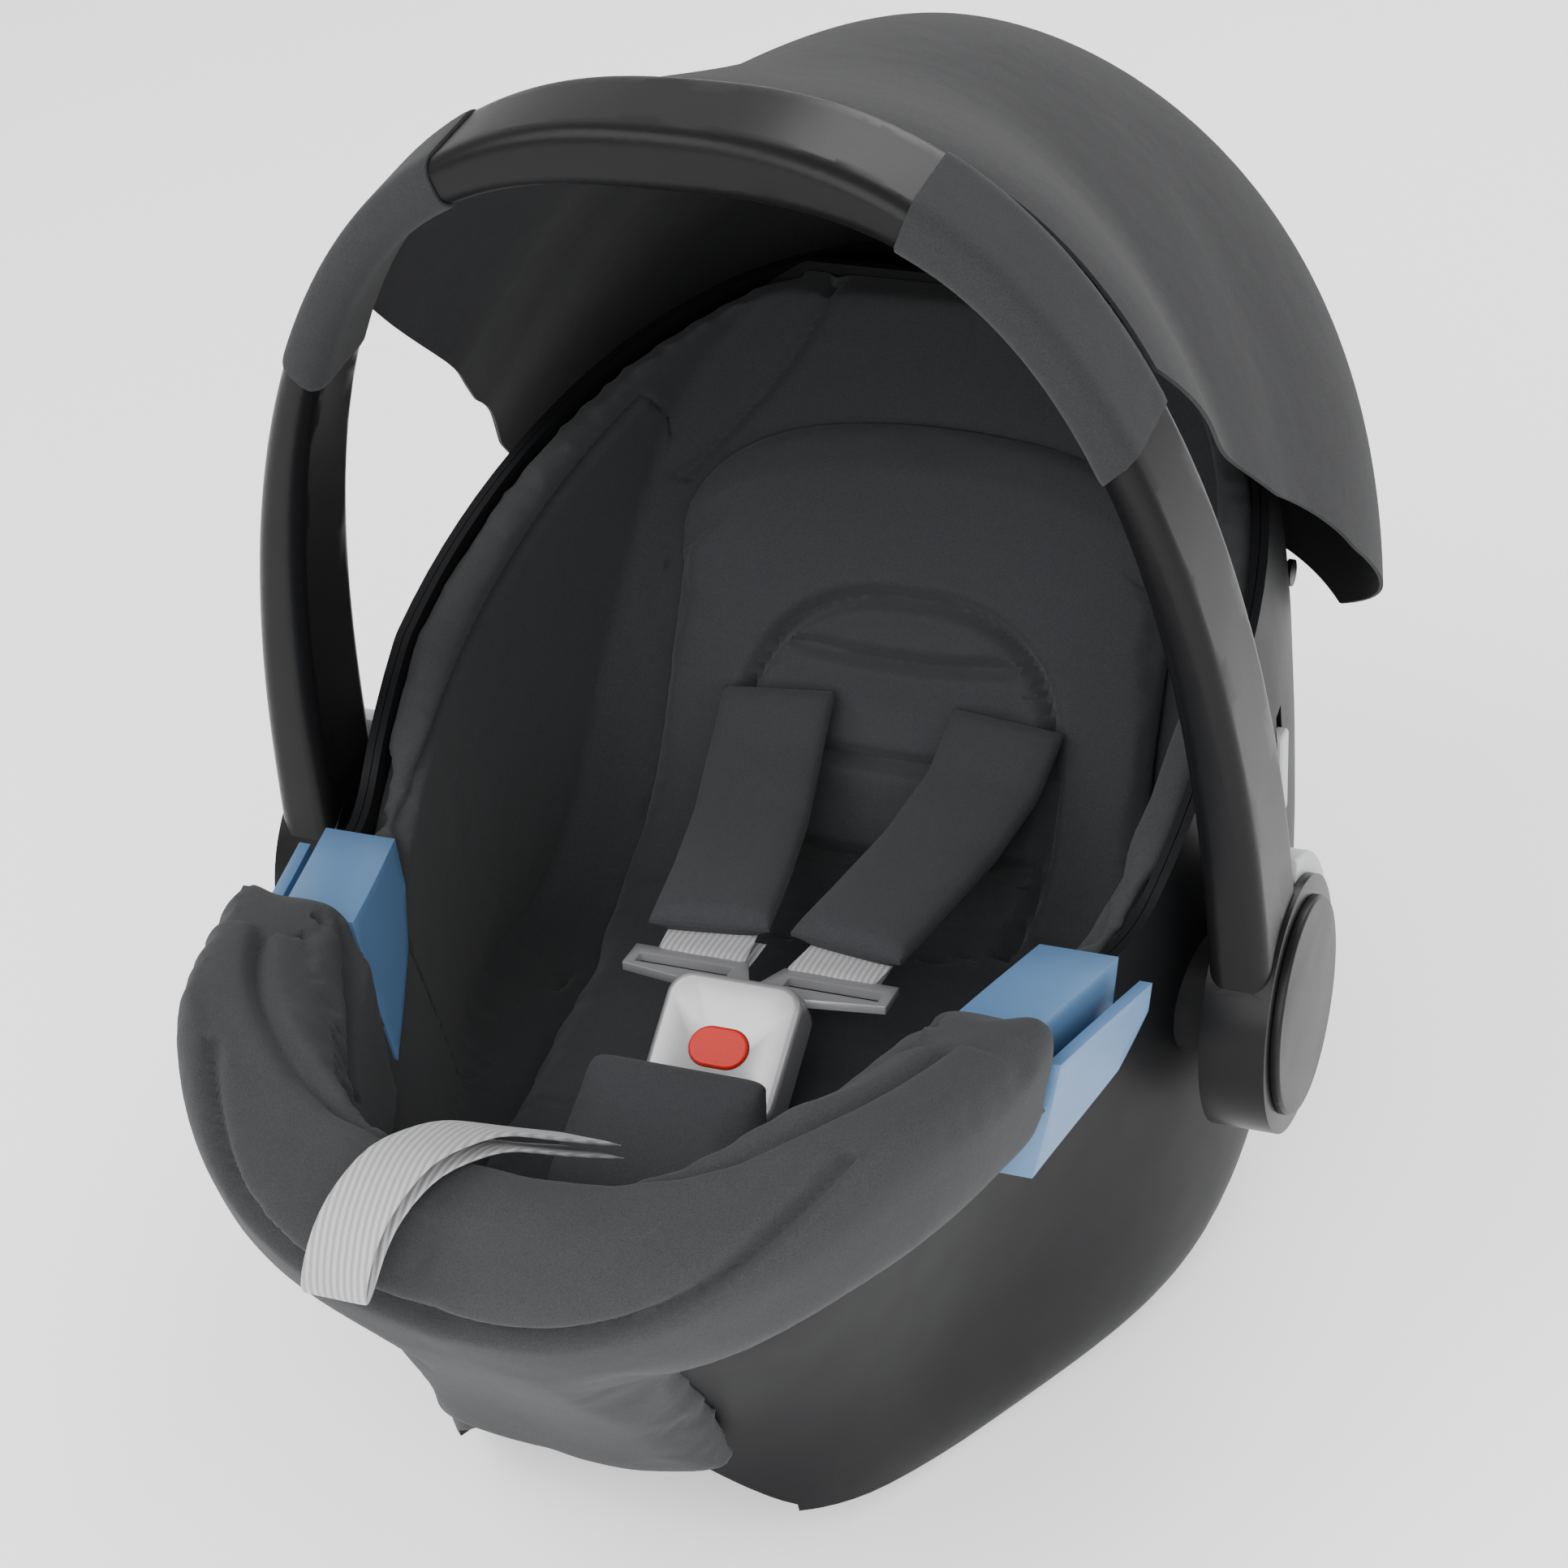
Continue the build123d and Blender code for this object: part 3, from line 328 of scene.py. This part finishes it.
def webbing(name, colour):
    """Flat woven strap: fine ribs across its width and a slight speckle."""
    material, shader, tree = new_material(name, colour, 0.6)
    if not tree:
        return material
    coords = tree.nodes.new("ShaderNodeTexCoord")
    ribs = tree.nodes.new("ShaderNodeTexWave")
    ribs.bands_direction = "X"
    ribs.inputs["Scale"].default_value = 120.0
    ribs.inputs["Distortion"].default_value = 0.4
    tree.links.new(coords.outputs["Object"], ribs.inputs["Vector"])
    dark = [c * 0.62 for c in colour]
    tree.links.new(mix_colours(tree, ribs.outputs["Fac"], dark, colour, 0.1, 0.7), shader.inputs["Base Color"])
    first = add_bump(tree, shader, ribs.outputs["Fac"], 0.5, 0.0008)
    yarn = link_noise(tree, 1600.0, 1.0)
    add_bump(tree, shader, yarn.outputs["Fac"], 0.3, 0.0005, first)
    shader.inputs["Sheen Weight"].default_value = 0.2
    return material


# ---- properties -------------------------------------------------------------------------------------
def colour_prop(name, words, default):
    """A colour that can be set in the panel."""
    return bpy.props.FloatVectorProperty(
        name=name, description=words, subtype="COLOR", size=3, min=0.0, max=1.0, default=default)


class SeatFinish(bpy.types.PropertyGroup):
    """Colours of the seat's finishes."""

    cover: colour_prop("Cover", "Charcoal cloth of the cover, bolster and pads", (0.026, 0.027, 0.029))
    insert: colour_prop("Insert", "Cloth of the newborn insert", (0.031, 0.032, 0.035))
    canopy: colour_prop("Canopy", "Cloth of the canopy", (0.017, 0.0175, 0.019))
    binding: colour_prop("Binding", "Dark tape and piping", (0.007, 0.007, 0.008))
    shell: colour_prop("Shell", "Plastic of the rocker shell", (0.006, 0.0062, 0.007))
    handle: colour_prop("Handle", "Plastic of the handle", (0.005, 0.005, 0.0055))
    grey: colour_prop("Grey plastic", "Buttons and levers", (0.42, 0.43, 0.44))
    blue: colour_prop("Guide blue", "Plastic of the belt guides", (0.085, 0.175, 0.32))
    web: colour_prop("Webbing", "Harness straps", (0.36, 0.36, 0.37))
    red: colour_prop("Buckle button", "Plastic of the buckle's button", (0.50, 0.007, 0.002))


class SeatPadding(bpy.types.PropertyGroup):
    """Sizes of the padding."""

    voxel: bpy.props.FloatProperty(
        name="Mesh size", description="Size of the even mesh that soft parts swell on", default=0.005,
        min=0.002, unit="LENGTH")
    pressure: bpy.props.FloatProperty(name="Pressure", description="How hard padding swells", default=4.0, min=0.0)
    seam_depth: bpy.props.FloatProperty(
        name="Seam depth", description="How far a sewn line is pulled in", default=0.0045, unit="LENGTH")
    seam_width: bpy.props.FloatProperty(
        name="Seam width", description="Half width of the dip at a sewn line", default=0.0032, unit="LENGTH")


class SeatStage(bpy.types.PropertyGroup):
    """Camera, floor and lights."""

    azimuth: bpy.props.FloatProperty(
        name="Azimuth", description="Camera's turn from the foot end", default=math.radians(23), subtype="ANGLE")
    elevation: bpy.props.FloatProperty(
        name="Elevation", description="Camera's height angle", default=math.radians(29), subtype="ANGLE")
    roll: bpy.props.FloatProperty(
        name="Roll", description="Camera's lean", default=math.radians(3), subtype="ANGLE")
    distance: bpy.props.FloatProperty(
        name="Distance", description="Camera to target", default=1.5064, unit="LENGTH")
    lens: bpy.props.FloatProperty(name="Lens", description="Focal length", default=88.5, min=10)
    target: bpy.props.FloatVectorProperty(
        name="Target", description="Point in the middle of the picture", default=(0.0176, -0.0551, 0.2560),
        subtype="XYZ")
    glow: bpy.props.FloatProperty(
        name="Floor glow", description="How much light the floor gives off by itself", default=0.55, min=0.0)
    floor: bpy.props.FloatProperty(
        name="Floor", description="Width of the floor", default=16.0, unit="LENGTH")


# ---- covers and pads -----------------------------------------------------------------------------------
class SEAT_OT_cover(bpy.types.Operator):
    """Padded cover of the tub, with the seams of the head and wings"""

    bl_idname = "seat.cover"
    bl_label = "Tub cover"

    def execute(self, context):
        padding, finish = context.scene.seat_padding, context.scene.seat_finish
        cover = copy_nodes("tub_cover", "seat_cover", "foam_liner")
        inflate(cover, padding.voxel, padding.pressure, 0.0035)
        spots, _ = points_of(cover)
        x, y, z = spots.T
        head_seam = np.abs(x) - (0.062 + 0.10 * smoothstep(z, 0.36, 0.20))
        wing_seam = z - (0.246 + 0.42 * (y - 0.0))
        upper = smoothstep(z, 0.24, 0.27)
        wings = smoothstep(np.abs(x), 0.10, 0.13)
        press_seams(cover, [head_seam + (1 - upper) * 1.0, wing_seam + (1 - wings) * 1.0],
                    padding.seam_depth, padding.seam_width)
        cloth = fabric("cover_cloth", finish.cover)
        finish_piece(cover, cloth, "shell", ("seat_cover", "foam_liner"), 60)
        return {"FINISHED"}


OVAL_HALF, OVAL_HIGH, OVAL_Z = 0.074, 0.080, 0.161
RIB_HEIGHTS = (0.216, 0.176, 0.137)
BACK_LINE = np.array([0.0, 0.4168, 0.909])
ARCH_HIGH = 0.085
TOP_DROP = 0.012
WIDEN = 0.07


class SEAT_OT_insert(bpy.types.Operator):
    """Newborn insert with a raised lumbar cushion and sewn ribs"""

    bl_idname = "seat.insert"
    bl_label = "Newborn insert"

    def execute(self, context):
        padding, finish = context.scene.seat_padding, context.scene.seat_finish
        insert = copy_nodes("newborn_pad", "newborn_insert")
        inflate(insert, padding.voxel, padding.pressure, 0.006, smooth=6, shape=self.arch_top)
        spots, _ = points_of(insert)
        x, y, z = spots.T
        on_back = smoothstep(y, 0.03, 0.06)
        oval = ((np.abs(x / OVAL_HALF) ** 2.6 + np.abs((z - OVAL_Z) / OVAL_HIGH) ** 2.6) ** (1 / 2.6) - 1) * OVAL_HALF
        inside = smoothstep(-oval, -0.001, 0.006)
        ribs = [(z - height - 0.006 * (x / OVAL_HALF) ** 2) + (1 - inside) for height in RIB_HEIGHTS]
        press_seams(insert, [line + (1 - on_back) for line in (oval, *ribs)],
                    padding.seam_depth * 1.3, padding.seam_width, bulge=0.005, reach=0.016)
        cloth = fabric("insert_cloth", finish.insert, sheen=0.08)
        finish_piece(insert, cloth, "shell", ("newborn_insert",), 60)
        return {"FINISHED"}

    def arch_top(self, spots, normals):
        """Rounds the pad's top corners and lowers its top along the back."""
        along = spots @ BACK_LINE
        top = along.max()
        part = np.clip((along - (top - ARCH_HIGH)) / ARCH_HIGH, 0, 1)
        half = np.abs(spots[:, 0]).max()
        round_off = 1 - np.clip(1 - (np.abs(spots[:, 0]) / half) ** 2.6, 0, 1) ** (1 / 2.6)
        drop = part * (TOP_DROP + 0.85 * ARCH_HIGH * round_off)
        wider = 1 + WIDEN * smoothstep(spots[:, 1], 0.0, 0.06)
        return (spots - BACK_LINE * drop[:, None]) * np.stack([wider, wider * 0 + 1, wider * 0 + 1], 1)


BOLSTER_SWELL = 0.011
HEM_HALF = 0.060
HEM_RISE = (0.0527, 0.717, -0.172)      # height of the side hem: at the middle, then per metre out and back


class SEAT_OT_bolster(bpy.types.Operator):
    """Puffed bolster over the foot end's rim, with its two long seams"""

    bl_idname = "seat.bolster"
    bl_label = "Rim bolster"

    def execute(self, context):
        padding, finish = context.scene.seat_padding, context.scene.seat_finish
        bolster = copy_nodes("rim_padding", "rim_bolster")
        inflate(bolster, 0.8 * padding.voxel, padding.pressure * 1.4, 0.006, smooth=10, shape=self.plump,
                cutters=[self.side_wedge(sign) for sign in (1, -1)])
        spots, normals = points_of(bolster)
        x, y, z = spots.T
        outer = z - (0.184 + 0.058 * (np.abs(x) / 0.126) ** 2.2)
        outward = smoothstep(normals @ np.array([0, -1, 0]) + np.abs(normals[:, 0]), 0.1, 0.4)
        ring = (np.abs(x / 0.146) ** 2.6 + np.abs((y + 0.11) / 0.176) ** 2.6) ** (1 / 2.6)
        inner = (ring - 1) * 0.15 + (1 - smoothstep(normals[:, 2], 0.25, 0.5)) + smoothstep(y, -0.20, -0.19)
        press_seams(bolster, [outer + (1 - outward), inner], padding.seam_depth, padding.seam_width,
                    bulge=0.003, reach=0.018)
        apply_modifier(bolster, "SMOOTH", factor=0.5, iterations=2)
        finish_piece(bolster, fabric("cover_cloth", finish.cover), "shell", ("rim_bolster",), 60)
        return {"FINISHED"}

    def side_wedge(self, sign):
        """The space at one side, under the cover's lower hem, that the cover is cut back from."""
        bpy.ops.object.select_all(action="DESELECT")
        bpy.ops.mesh.primitive_cube_add(size=2)
        wedge = bpy.context.active_object
        spots, _ = points_of(wedge)
        x = np.where(spots[:, 0] * sign > 0, 0.30, HEM_HALF)
        y = np.where(spots[:, 1] > 0, 0.0, -0.45)
        z = np.where(spots[:, 2] > 0, HEM_RISE[0] + HEM_RISE[1] * x + HEM_RISE[2] * y, -0.05)
        put_points(wedge, np.stack([sign * x, y, z], 1))
        return wedge

    def plump(self, spots, normals):
        """Fills the bolster out, away from the tub and upwards."""
        away = np.stack([spots[:, 0] / 0.15, (spots[:, 1] + 0.10) / 0.2, np.full(len(spots), 0.35)], 1)
        away /= np.linalg.norm(away, axis=1, keepdims=True)
        facing = np.clip((normals * away).sum(1), 0, 1)
        upper = smoothstep(spots[:, 2], 0.10, 0.18)
        return spots + normals * (BOLSTER_SWELL * facing * upper)[:, None]


PAD_LINE = [(0.030, -0.030, 0.168), (0.036, 0.010, 0.170), (0.043, 0.050, 0.174), (0.050, 0.085, 0.185),
            (0.053, 0.112, 0.203)]
STRAP_FRONT = [(0.028, -0.020, 0.1570), (0.028, -0.044, 0.1570), (0.028, -0.048, 0.1595), (0.028, -0.044, 0.1625)]


class SEAT_OT_pads(bpy.types.Operator):
    """Shoulder pads and the crotch pad"""

    bl_idname = "seat.pads"
    bl_label = "Harness pads"

    def execute(self, context):
        padding, finish = context.scene.seat_padding, context.scene.seat_finish
        cloth = fabric("pad_cloth", finish.insert)
        for side, sign in SIDES:
            path = [(sign * x, y, z) for x, y, z in PAD_LINE]
            pad = band(f"shoulder_cushion_{side}", path, 0.051, 0.015, roundness=3.5, end_roundness=24.0)
            finish_piece(pad, cloth, "shell", (f"shoulder_pad_{side}",), 60)
        pad = copy_nodes("crotch_cushion", "crotch_pad")
        inflate(pad, 0.004, padding.pressure * 1.5, 0.006, smooth=8)
        finish_piece(pad, cloth, "shell", ("crotch_pad",), 60)
        return {"FINISHED"}


# ---- harness ------------------------------------------------------------------------------------------------
PULL_LINE = [(0.004, -0.218, 0.186), (-0.002, -0.250, 0.207), (-0.012, -0.280, 0.228), (-0.024, -0.308, 0.234),
             (-0.032, -0.328, 0.224), (-0.036, -0.338, 0.206), (-0.037, -0.341, 0.196), (-0.037, -0.347, 0.195),
             (-0.036, -0.346, 0.208), (-0.032, -0.336, 0.229), (-0.024, -0.312, 0.242), (-0.012, -0.282, 0.236),
             (-0.002, -0.252, 0.215), (0.004, -0.220, 0.193)]
TONGUE_EXTRA = 0.0006


class SEAT_OT_harness(bpy.types.Operator):
    """Webbing with softened edges, chrome buckle and tongues, red button"""

    bl_idname = "seat.harness"
    bl_label = "Harness"

    def execute(self, context):
        finish = context.scene.seat_finish
        web = webbing("strap_web", finish.web)
        strap = copy_nodes("crotch_strap_web", "crotch_strap")
        apply_modifier(strap, "BEVEL", width=0.0005, segments=2, limit_method="ANGLE")
        finish_piece(strap, web, "shell", ("crotch_strap",), 35)
        for side, sign in SIDES:
            under_pad = [(x, y, z - 0.0065) for x, y, z in PAD_LINE]
            path = [(sign * x, y, z) for x, y, z in (*STRAP_FRONT, *under_pad)]
            strap = band(f"shoulder_strap_{side}_web", path, 0.038, 0.0018, roundness=12.0)
            finish_piece(strap, web, "shell", (f"shoulder_strap_{side}",), 50)
        loop = band("pull_strap_web", PULL_LINE, 0.025, 0.0018, roundness=12.0, cuts=60)
        finish_piece(loop, web, "shell", ("pull_strap",), 50)
        chrome = metal("polished_chrome", (0.34, 0.34, 0.35), 0.3, share=0.5)
        for name in ("buckle_body", "tongue_right", "tongue_left"):
            plate = copy_nodes(f"{name}_plated", name)
            if name != "buckle_body":
                fatten(plate, TONGUE_EXTRA)
            apply_modifier(plate, "BEVEL", width=0.0006, segments=2, limit_method="ANGLE")
            finish_piece(plate, chrome, "shell", (name,), 35)
        paint("buckle_button", plastic("signal_red", finish.red, 0.35, specular=0.3))
        return {"FINISHED"}


def paint(node, material):
    """Gives a CAD node its material."""
    obj = frame["nodes"][node]
    obj.data.materials.clear()
    obj.data.materials.append(material)


# ---- canopy ------------------------------------------------------------------------------------------------------
HOOPS = ((95.0, 0.366), (80.0, 0.353), (67.0, 0.360), (54.0, 0.392), (40.0, 0.402), (27.0, 0.380), (14.0, 0.300))
FOOT_RADIUS = 0.198


def dome_shape(angle):
    """Distance over the middle, half width and squareness of the canopy at an angle above level, in degrees."""
    angles, radii = zip(*HOOPS)
    back = (95.0 - angle) / 81.0
    radius = np.polyval(np.polyfit(angles, radii, 5), angle)
    power = 1.95 + 0.7 * (1 - smoothstep(back, 0.0, 0.3)) + 1.1 * smoothstep(back, 0.45, 1.0)
    return radius, 0.207 + 0.008 * back, power


HANDLE_LEAN = Vector((0, math.cos(math.radians(99)), math.sin(math.radians(99))))
SLEEVE_CENTRE = 0.105
SLEEVE_ANGLES = (math.radians(44), math.radians(70))
SLEEVE_THICK = 0.0016


class SEAT_OT_canopy(bpy.types.Operator):
    """Fabric canopy over hoops, with its hem, its sleeves round the handle and the small loop"""

    bl_idname = "seat.canopy"
    bl_label = "Canopy"

    def execute(self, context):
        finish = context.scene.seat_finish
        cloth = fabric("canopy_cloth", finish.canopy)
        canopy, width, length, area = self.dome("canopy_sheet", 96, 72)
        apply_modifier(canopy, "SOLIDIFY", thickness=0.0016, offset=-1)
        finish_piece(canopy, cloth, None, ("canopy",), 60)
        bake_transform(canopy)
        for side, sign in SIDES:
            sleeve = self.sleeve(f"sleeve_{side}", sign)
            finish_piece(sleeve, cloth, "handle", (f"canopy_sleeve_{side}",), 60)
        paint("elastic_loop", fabric("loop_cord", finish.binding))
        return {"FINISHED"}

    def sleeve(self, name, sign):
        """A fabric tube round the handle, cut square to it at both ends."""
        tube = copy_nodes(name, "handle")
        apply_modifier(tube, "REMESH", mode="VOXEL", voxel_size=0.002)
        centre = PIVOT + HANDLE_LEAN * SLEEVE_CENTRE
        bpy.ops.object.mode_set(mode="EDIT")
        for angle, keep_low in zip(SLEEVE_ANGLES, (True, False)):
            across = Vector((sign * math.cos(angle), 0, 0)) + HANDLE_LEAN * math.sin(angle)
            normal = Vector((0, -HANDLE_LEAN.z, HANDLE_LEAN.y)).cross(across) * sign
            bpy.ops.mesh.select_all(action="SELECT")
            bpy.ops.mesh.bisect(plane_co=centre, plane_no=normal, use_fill=True,
                                clear_outer=not keep_low, clear_inner=keep_low)
        bpy.ops.mesh.select_all(action="SELECT")
        bpy.ops.mesh.bisect(plane_co=(0, 0, 0), plane_no=(sign, 0, 0), clear_inner=True)
        bpy.ops.object.mode_set(mode="OBJECT")
        fatten(tube, SLEEVE_THICK)
        apply_modifier(tube, "SMOOTH", factor=0.5, iterations=6)
        return tube

    def dome(self, name, across, along):
        """The canopy's surface as a grid from the handle to the rear hoop, with its width, length and area."""
        bpy.ops.object.select_all(action="DESELECT")
        bpy.ops.mesh.primitive_grid_add(x_subdivisions=across, y_subdivisions=along, size=2)
        sheet = bpy.context.active_object
        sheet.name = sheet.data.name = name
        spots, _ = points_of(sheet)
        u, v = spots[:, 0], (spots[:, 1] + 1) / 2
        angle = HOOPS[-1][0] + (HOOPS[0][0] - HOOPS[-1][0]) * v
        radius, half, power = dome_shape(angle)
        a = np.radians(angle)
        # the hem lies in a plane through two level lines, given from the pivot
        hem_y, hem_z, slope = PIVOT.y - 0.072, 0.480, -0.841
        reach = (hem_z + slope * (PIVOT.y - hem_y) - PIVOT.z) / (np.sin(a) - slope * np.cos(a))
        foot = np.clip(reach, FOOT_RADIUS, 0.97 * radius)
        start = np.arcsin((foot / radius) ** (power / 2))
        turn = start + (math.pi - 2 * start) * (u + 1) / 2
        c, s = np.cos(turn), np.sin(turn)
        x = half * np.sign(c) * np.abs(c) ** (2 / power)
        r = radius * s ** (2 / power)
        spots = np.stack([x, PIVOT.y + r * np.cos(a), PIVOT.z + r * np.sin(a)], 1)
        put_points(sheet, spots)
        bpy.ops.object.mode_set(mode="EDIT")
        bpy.ops.mesh.select_all(action="SELECT")
        bpy.ops.mesh.normals_make_consistent(inside=False)
        bpy.ops.object.mode_set(mode="OBJECT")
        width = self.longest_line(spots, v, u)
        length = self.longest_line(spots, u, v)
        return sheet, width, length, sum(face.area for face in sheet.data.polygons)

    def longest_line(self, spots, held, along):
        """Length of the longest grid line on which held stays the same, followed in the order of along."""
        lengths = []
        for level in np.unique(np.round(held, 4)):
            line = np.abs(held - level) < 1e-3
            ordered = spots[line][np.argsort(along[line])]
            lengths.append(float(np.linalg.norm(np.diff(ordered, axis=0), axis=1).sum()))
        return max(lengths)


# ---- hard pieces -----------------------------------------------------------------------------------------------------
class SEAT_OT_plastics(bpy.types.Operator):
    """Finishes of the shell, handle, hubs, guides, buttons and hidden metal"""

    bl_idname = "seat.plastics"
    bl_label = "Hard finishes"

    def execute(self, context):
        finish = context.scene.seat_finish
        shell = plastic("shell_grain", finish.shell, 0.5, specular=0.1)
        dark = plastic("handle_satin", finish.handle, 0.34, strength=0.06, specular=0.14)
        cap = plastic("cap_satin", finish.handle, 0.42, specular=0.2)
        grey = plastic("grey_satin", finish.grey, 0.4)
        blue = plastic("guide_satin", finish.blue, 0.42)
        steel = metal("bright_steel", (0.55, 0.56, 0.58), 0.3)
        for node in ("outer_shell", "seat_bucket"):
            paint(node, shell)
        for node in ("adjuster_housing", "adjuster_button", "canopy_snap_right", "canopy_snap_left",
                     "lock_ring_right", "lock_ring_left"):
            paint(node, dark)
        for node in ("shell_screws", "latch_bar_front", "latch_bar_rear", "harness_yoke", "crotch_anchor",
                     "pivot_pin_right", "pivot_pin_left", "handle_spring_right", "handle_spring_left",
                     "buckle_spring", "adjuster_spring"):
            paint(node, steel)
        arch = copy_nodes("carry_handle", "handle")
        apply_modifier(arch, "BEVEL", width=0.0015, segments=3, limit_method="ANGLE",
                       angle_limit=math.radians(40))
        finish_piece(arch, dark, "handle", ("handle",), 35)
        for side, _ in SIDES:
            for node, material, body, slot in (
                ("hub_cap", cap, "handle", "cap_plastic"),
                ("handle_button", grey, f"handle_button_{side}", "grey_plastic"),
                ("release_lever", grey, f"release_lever_{side}", "grey_plastic"),
                ("belt_guide", blue, "shell", "guide_blue"),
            ):
                name = f"{node}_{side}"
                piece = copy_nodes(f"{name}_finished", name)
                apply_modifier(piece, "BEVEL", width=0.0008, segments=2, limit_method="ANGLE",
                               angle_limit=math.radians(35))
                finish_piece(piece, material, body, (name,), 35)
        return {"FINISHED"}


# ---- stage ---------------------------------------------------------------------------------------------------------------
def area_light(name, place, aim, size, energy):
    """A soft square light that faces a point."""
    data = bpy.data.lights.new(name, "AREA")
    data.size = size
    data.energy = energy
    lamp = bpy.data.objects.new(name, data)
    bpy.context.scene.collection.objects.link(lamp)
    lamp.location = place
    lamp.rotation_euler = (Vector(place) - Vector(aim)).to_track_quat("Z", "Y").to_euler()


class SEAT_OT_stage(bpy.types.Operator):
    """Pale floor, soft lights and the camera"""

    bl_idname = "seat.stage"
    bl_label = "Stage"

    def execute(self, context):
        stage = context.scene.seat_stage
        bpy.ops.object.select_all(action="DESELECT")
        bpy.ops.mesh.primitive_plane_add(size=stage.floor)
        floor = context.active_object
        floor.name = "studio_floor"
        paper, shader, _ = new_material("floor_paper", (0.93, 0.93, 0.93), 0.9)
        shader.inputs["Specular IOR Level"].default_value = 0.05
        shader.inputs["Emission Color"].default_value = (1, 1, 1, 1)
        shader.inputs["Emission Strength"].default_value = stage.glow
        floor.data.materials.append(paper)
        world = bpy.data.worlds.new("studio")
        world.use_nodes = True
        sky = world.node_tree.nodes["Background"]
        sky.inputs["Color"].default_value = (1.0, 1.0, 1.0, 1)
        sky.inputs["Strength"].default_value = 0.95
        context.scene.world = world
        area_light("key", (-1.3, -1.5, 2.2), (0, 0, 0.2), 1.6, 45)
        area_light("fill", (1.9, -1.2, 1.3), (0, 0, 0.2), 1.6, 22)
        area_light("back", (0.3, 1.9, 1.9), (0, 0, 0.3), 1.4, 30)
        area_light("front", (0.4, -2.4, 1.5), (0, 0, 0.2), 2.0, 70)
        data = bpy.data.cameras.new("camera")
        data.lens = stage.lens
        data.sensor_width = 36
        camera = bpy.data.objects.new("camera", data)
        context.scene.collection.objects.link(camera)
        turn = (Matrix.Rotation(stage.azimuth, 3, "Z") @ Matrix.Rotation(math.pi / 2 - stage.elevation, 3, "X")
                @ Matrix.Rotation(-stage.roll, 3, "Z"))
        camera.rotation_euler = turn.to_euler()
        camera.location = Vector(stage.target) + turn @ Vector((0, 0, stage.distance))
        context.scene.camera = camera
        return {"FINISHED"}


class SEAT_PT_panel(bpy.types.Panel):
    """Lists the seat's pieces and settings"""

    bl_idname = "SEAT_PT_panel"
    bl_label = "Infant car seat"
    bl_space_type = "VIEW_3D"
    bl_region_type = "UI"
    bl_category = "Car Seat"

    def draw(self, context):
        for group in (context.scene.seat_finish, context.scene.seat_padding, context.scene.seat_stage):
            box = self.layout.box()
            for key in group.__annotations__:
                box.prop(group, key)
        for operator in PIECES:
            self.layout.operator(operator.bl_idname)


GROUPS = {"seat_finish": SeatFinish, "seat_padding": SeatPadding, "seat_stage": SeatStage}
PIECES = (SEAT_OT_plastics, SEAT_OT_cover, SEAT_OT_insert, SEAT_OT_bolster, SEAT_OT_pads, SEAT_OT_harness,
          SEAT_OT_canopy, SEAT_OT_stage)


def register():
    for cls in (*GROUPS.values(), *PIECES, SEAT_PT_panel):
        bpy.utils.register_class(cls)
    for name, group in GROUPS.items():
        setattr(bpy.types.Scene, name, bpy.props.PointerProperty(type=group))


def unregister():
    for name in GROUPS:
        delattr(bpy.types.Scene, name)
    for cls in reversed((*GROUPS.values(), *PIECES, SEAT_PT_panel)):
        bpy.utils.unregister_class(cls)


def main():
    register()
    for operator in PIECES:
        category, name = operator.bl_idname.split(".")
        getattr(getattr(bpy.ops, category), name)()


if __name__ == "__main__":
    main()
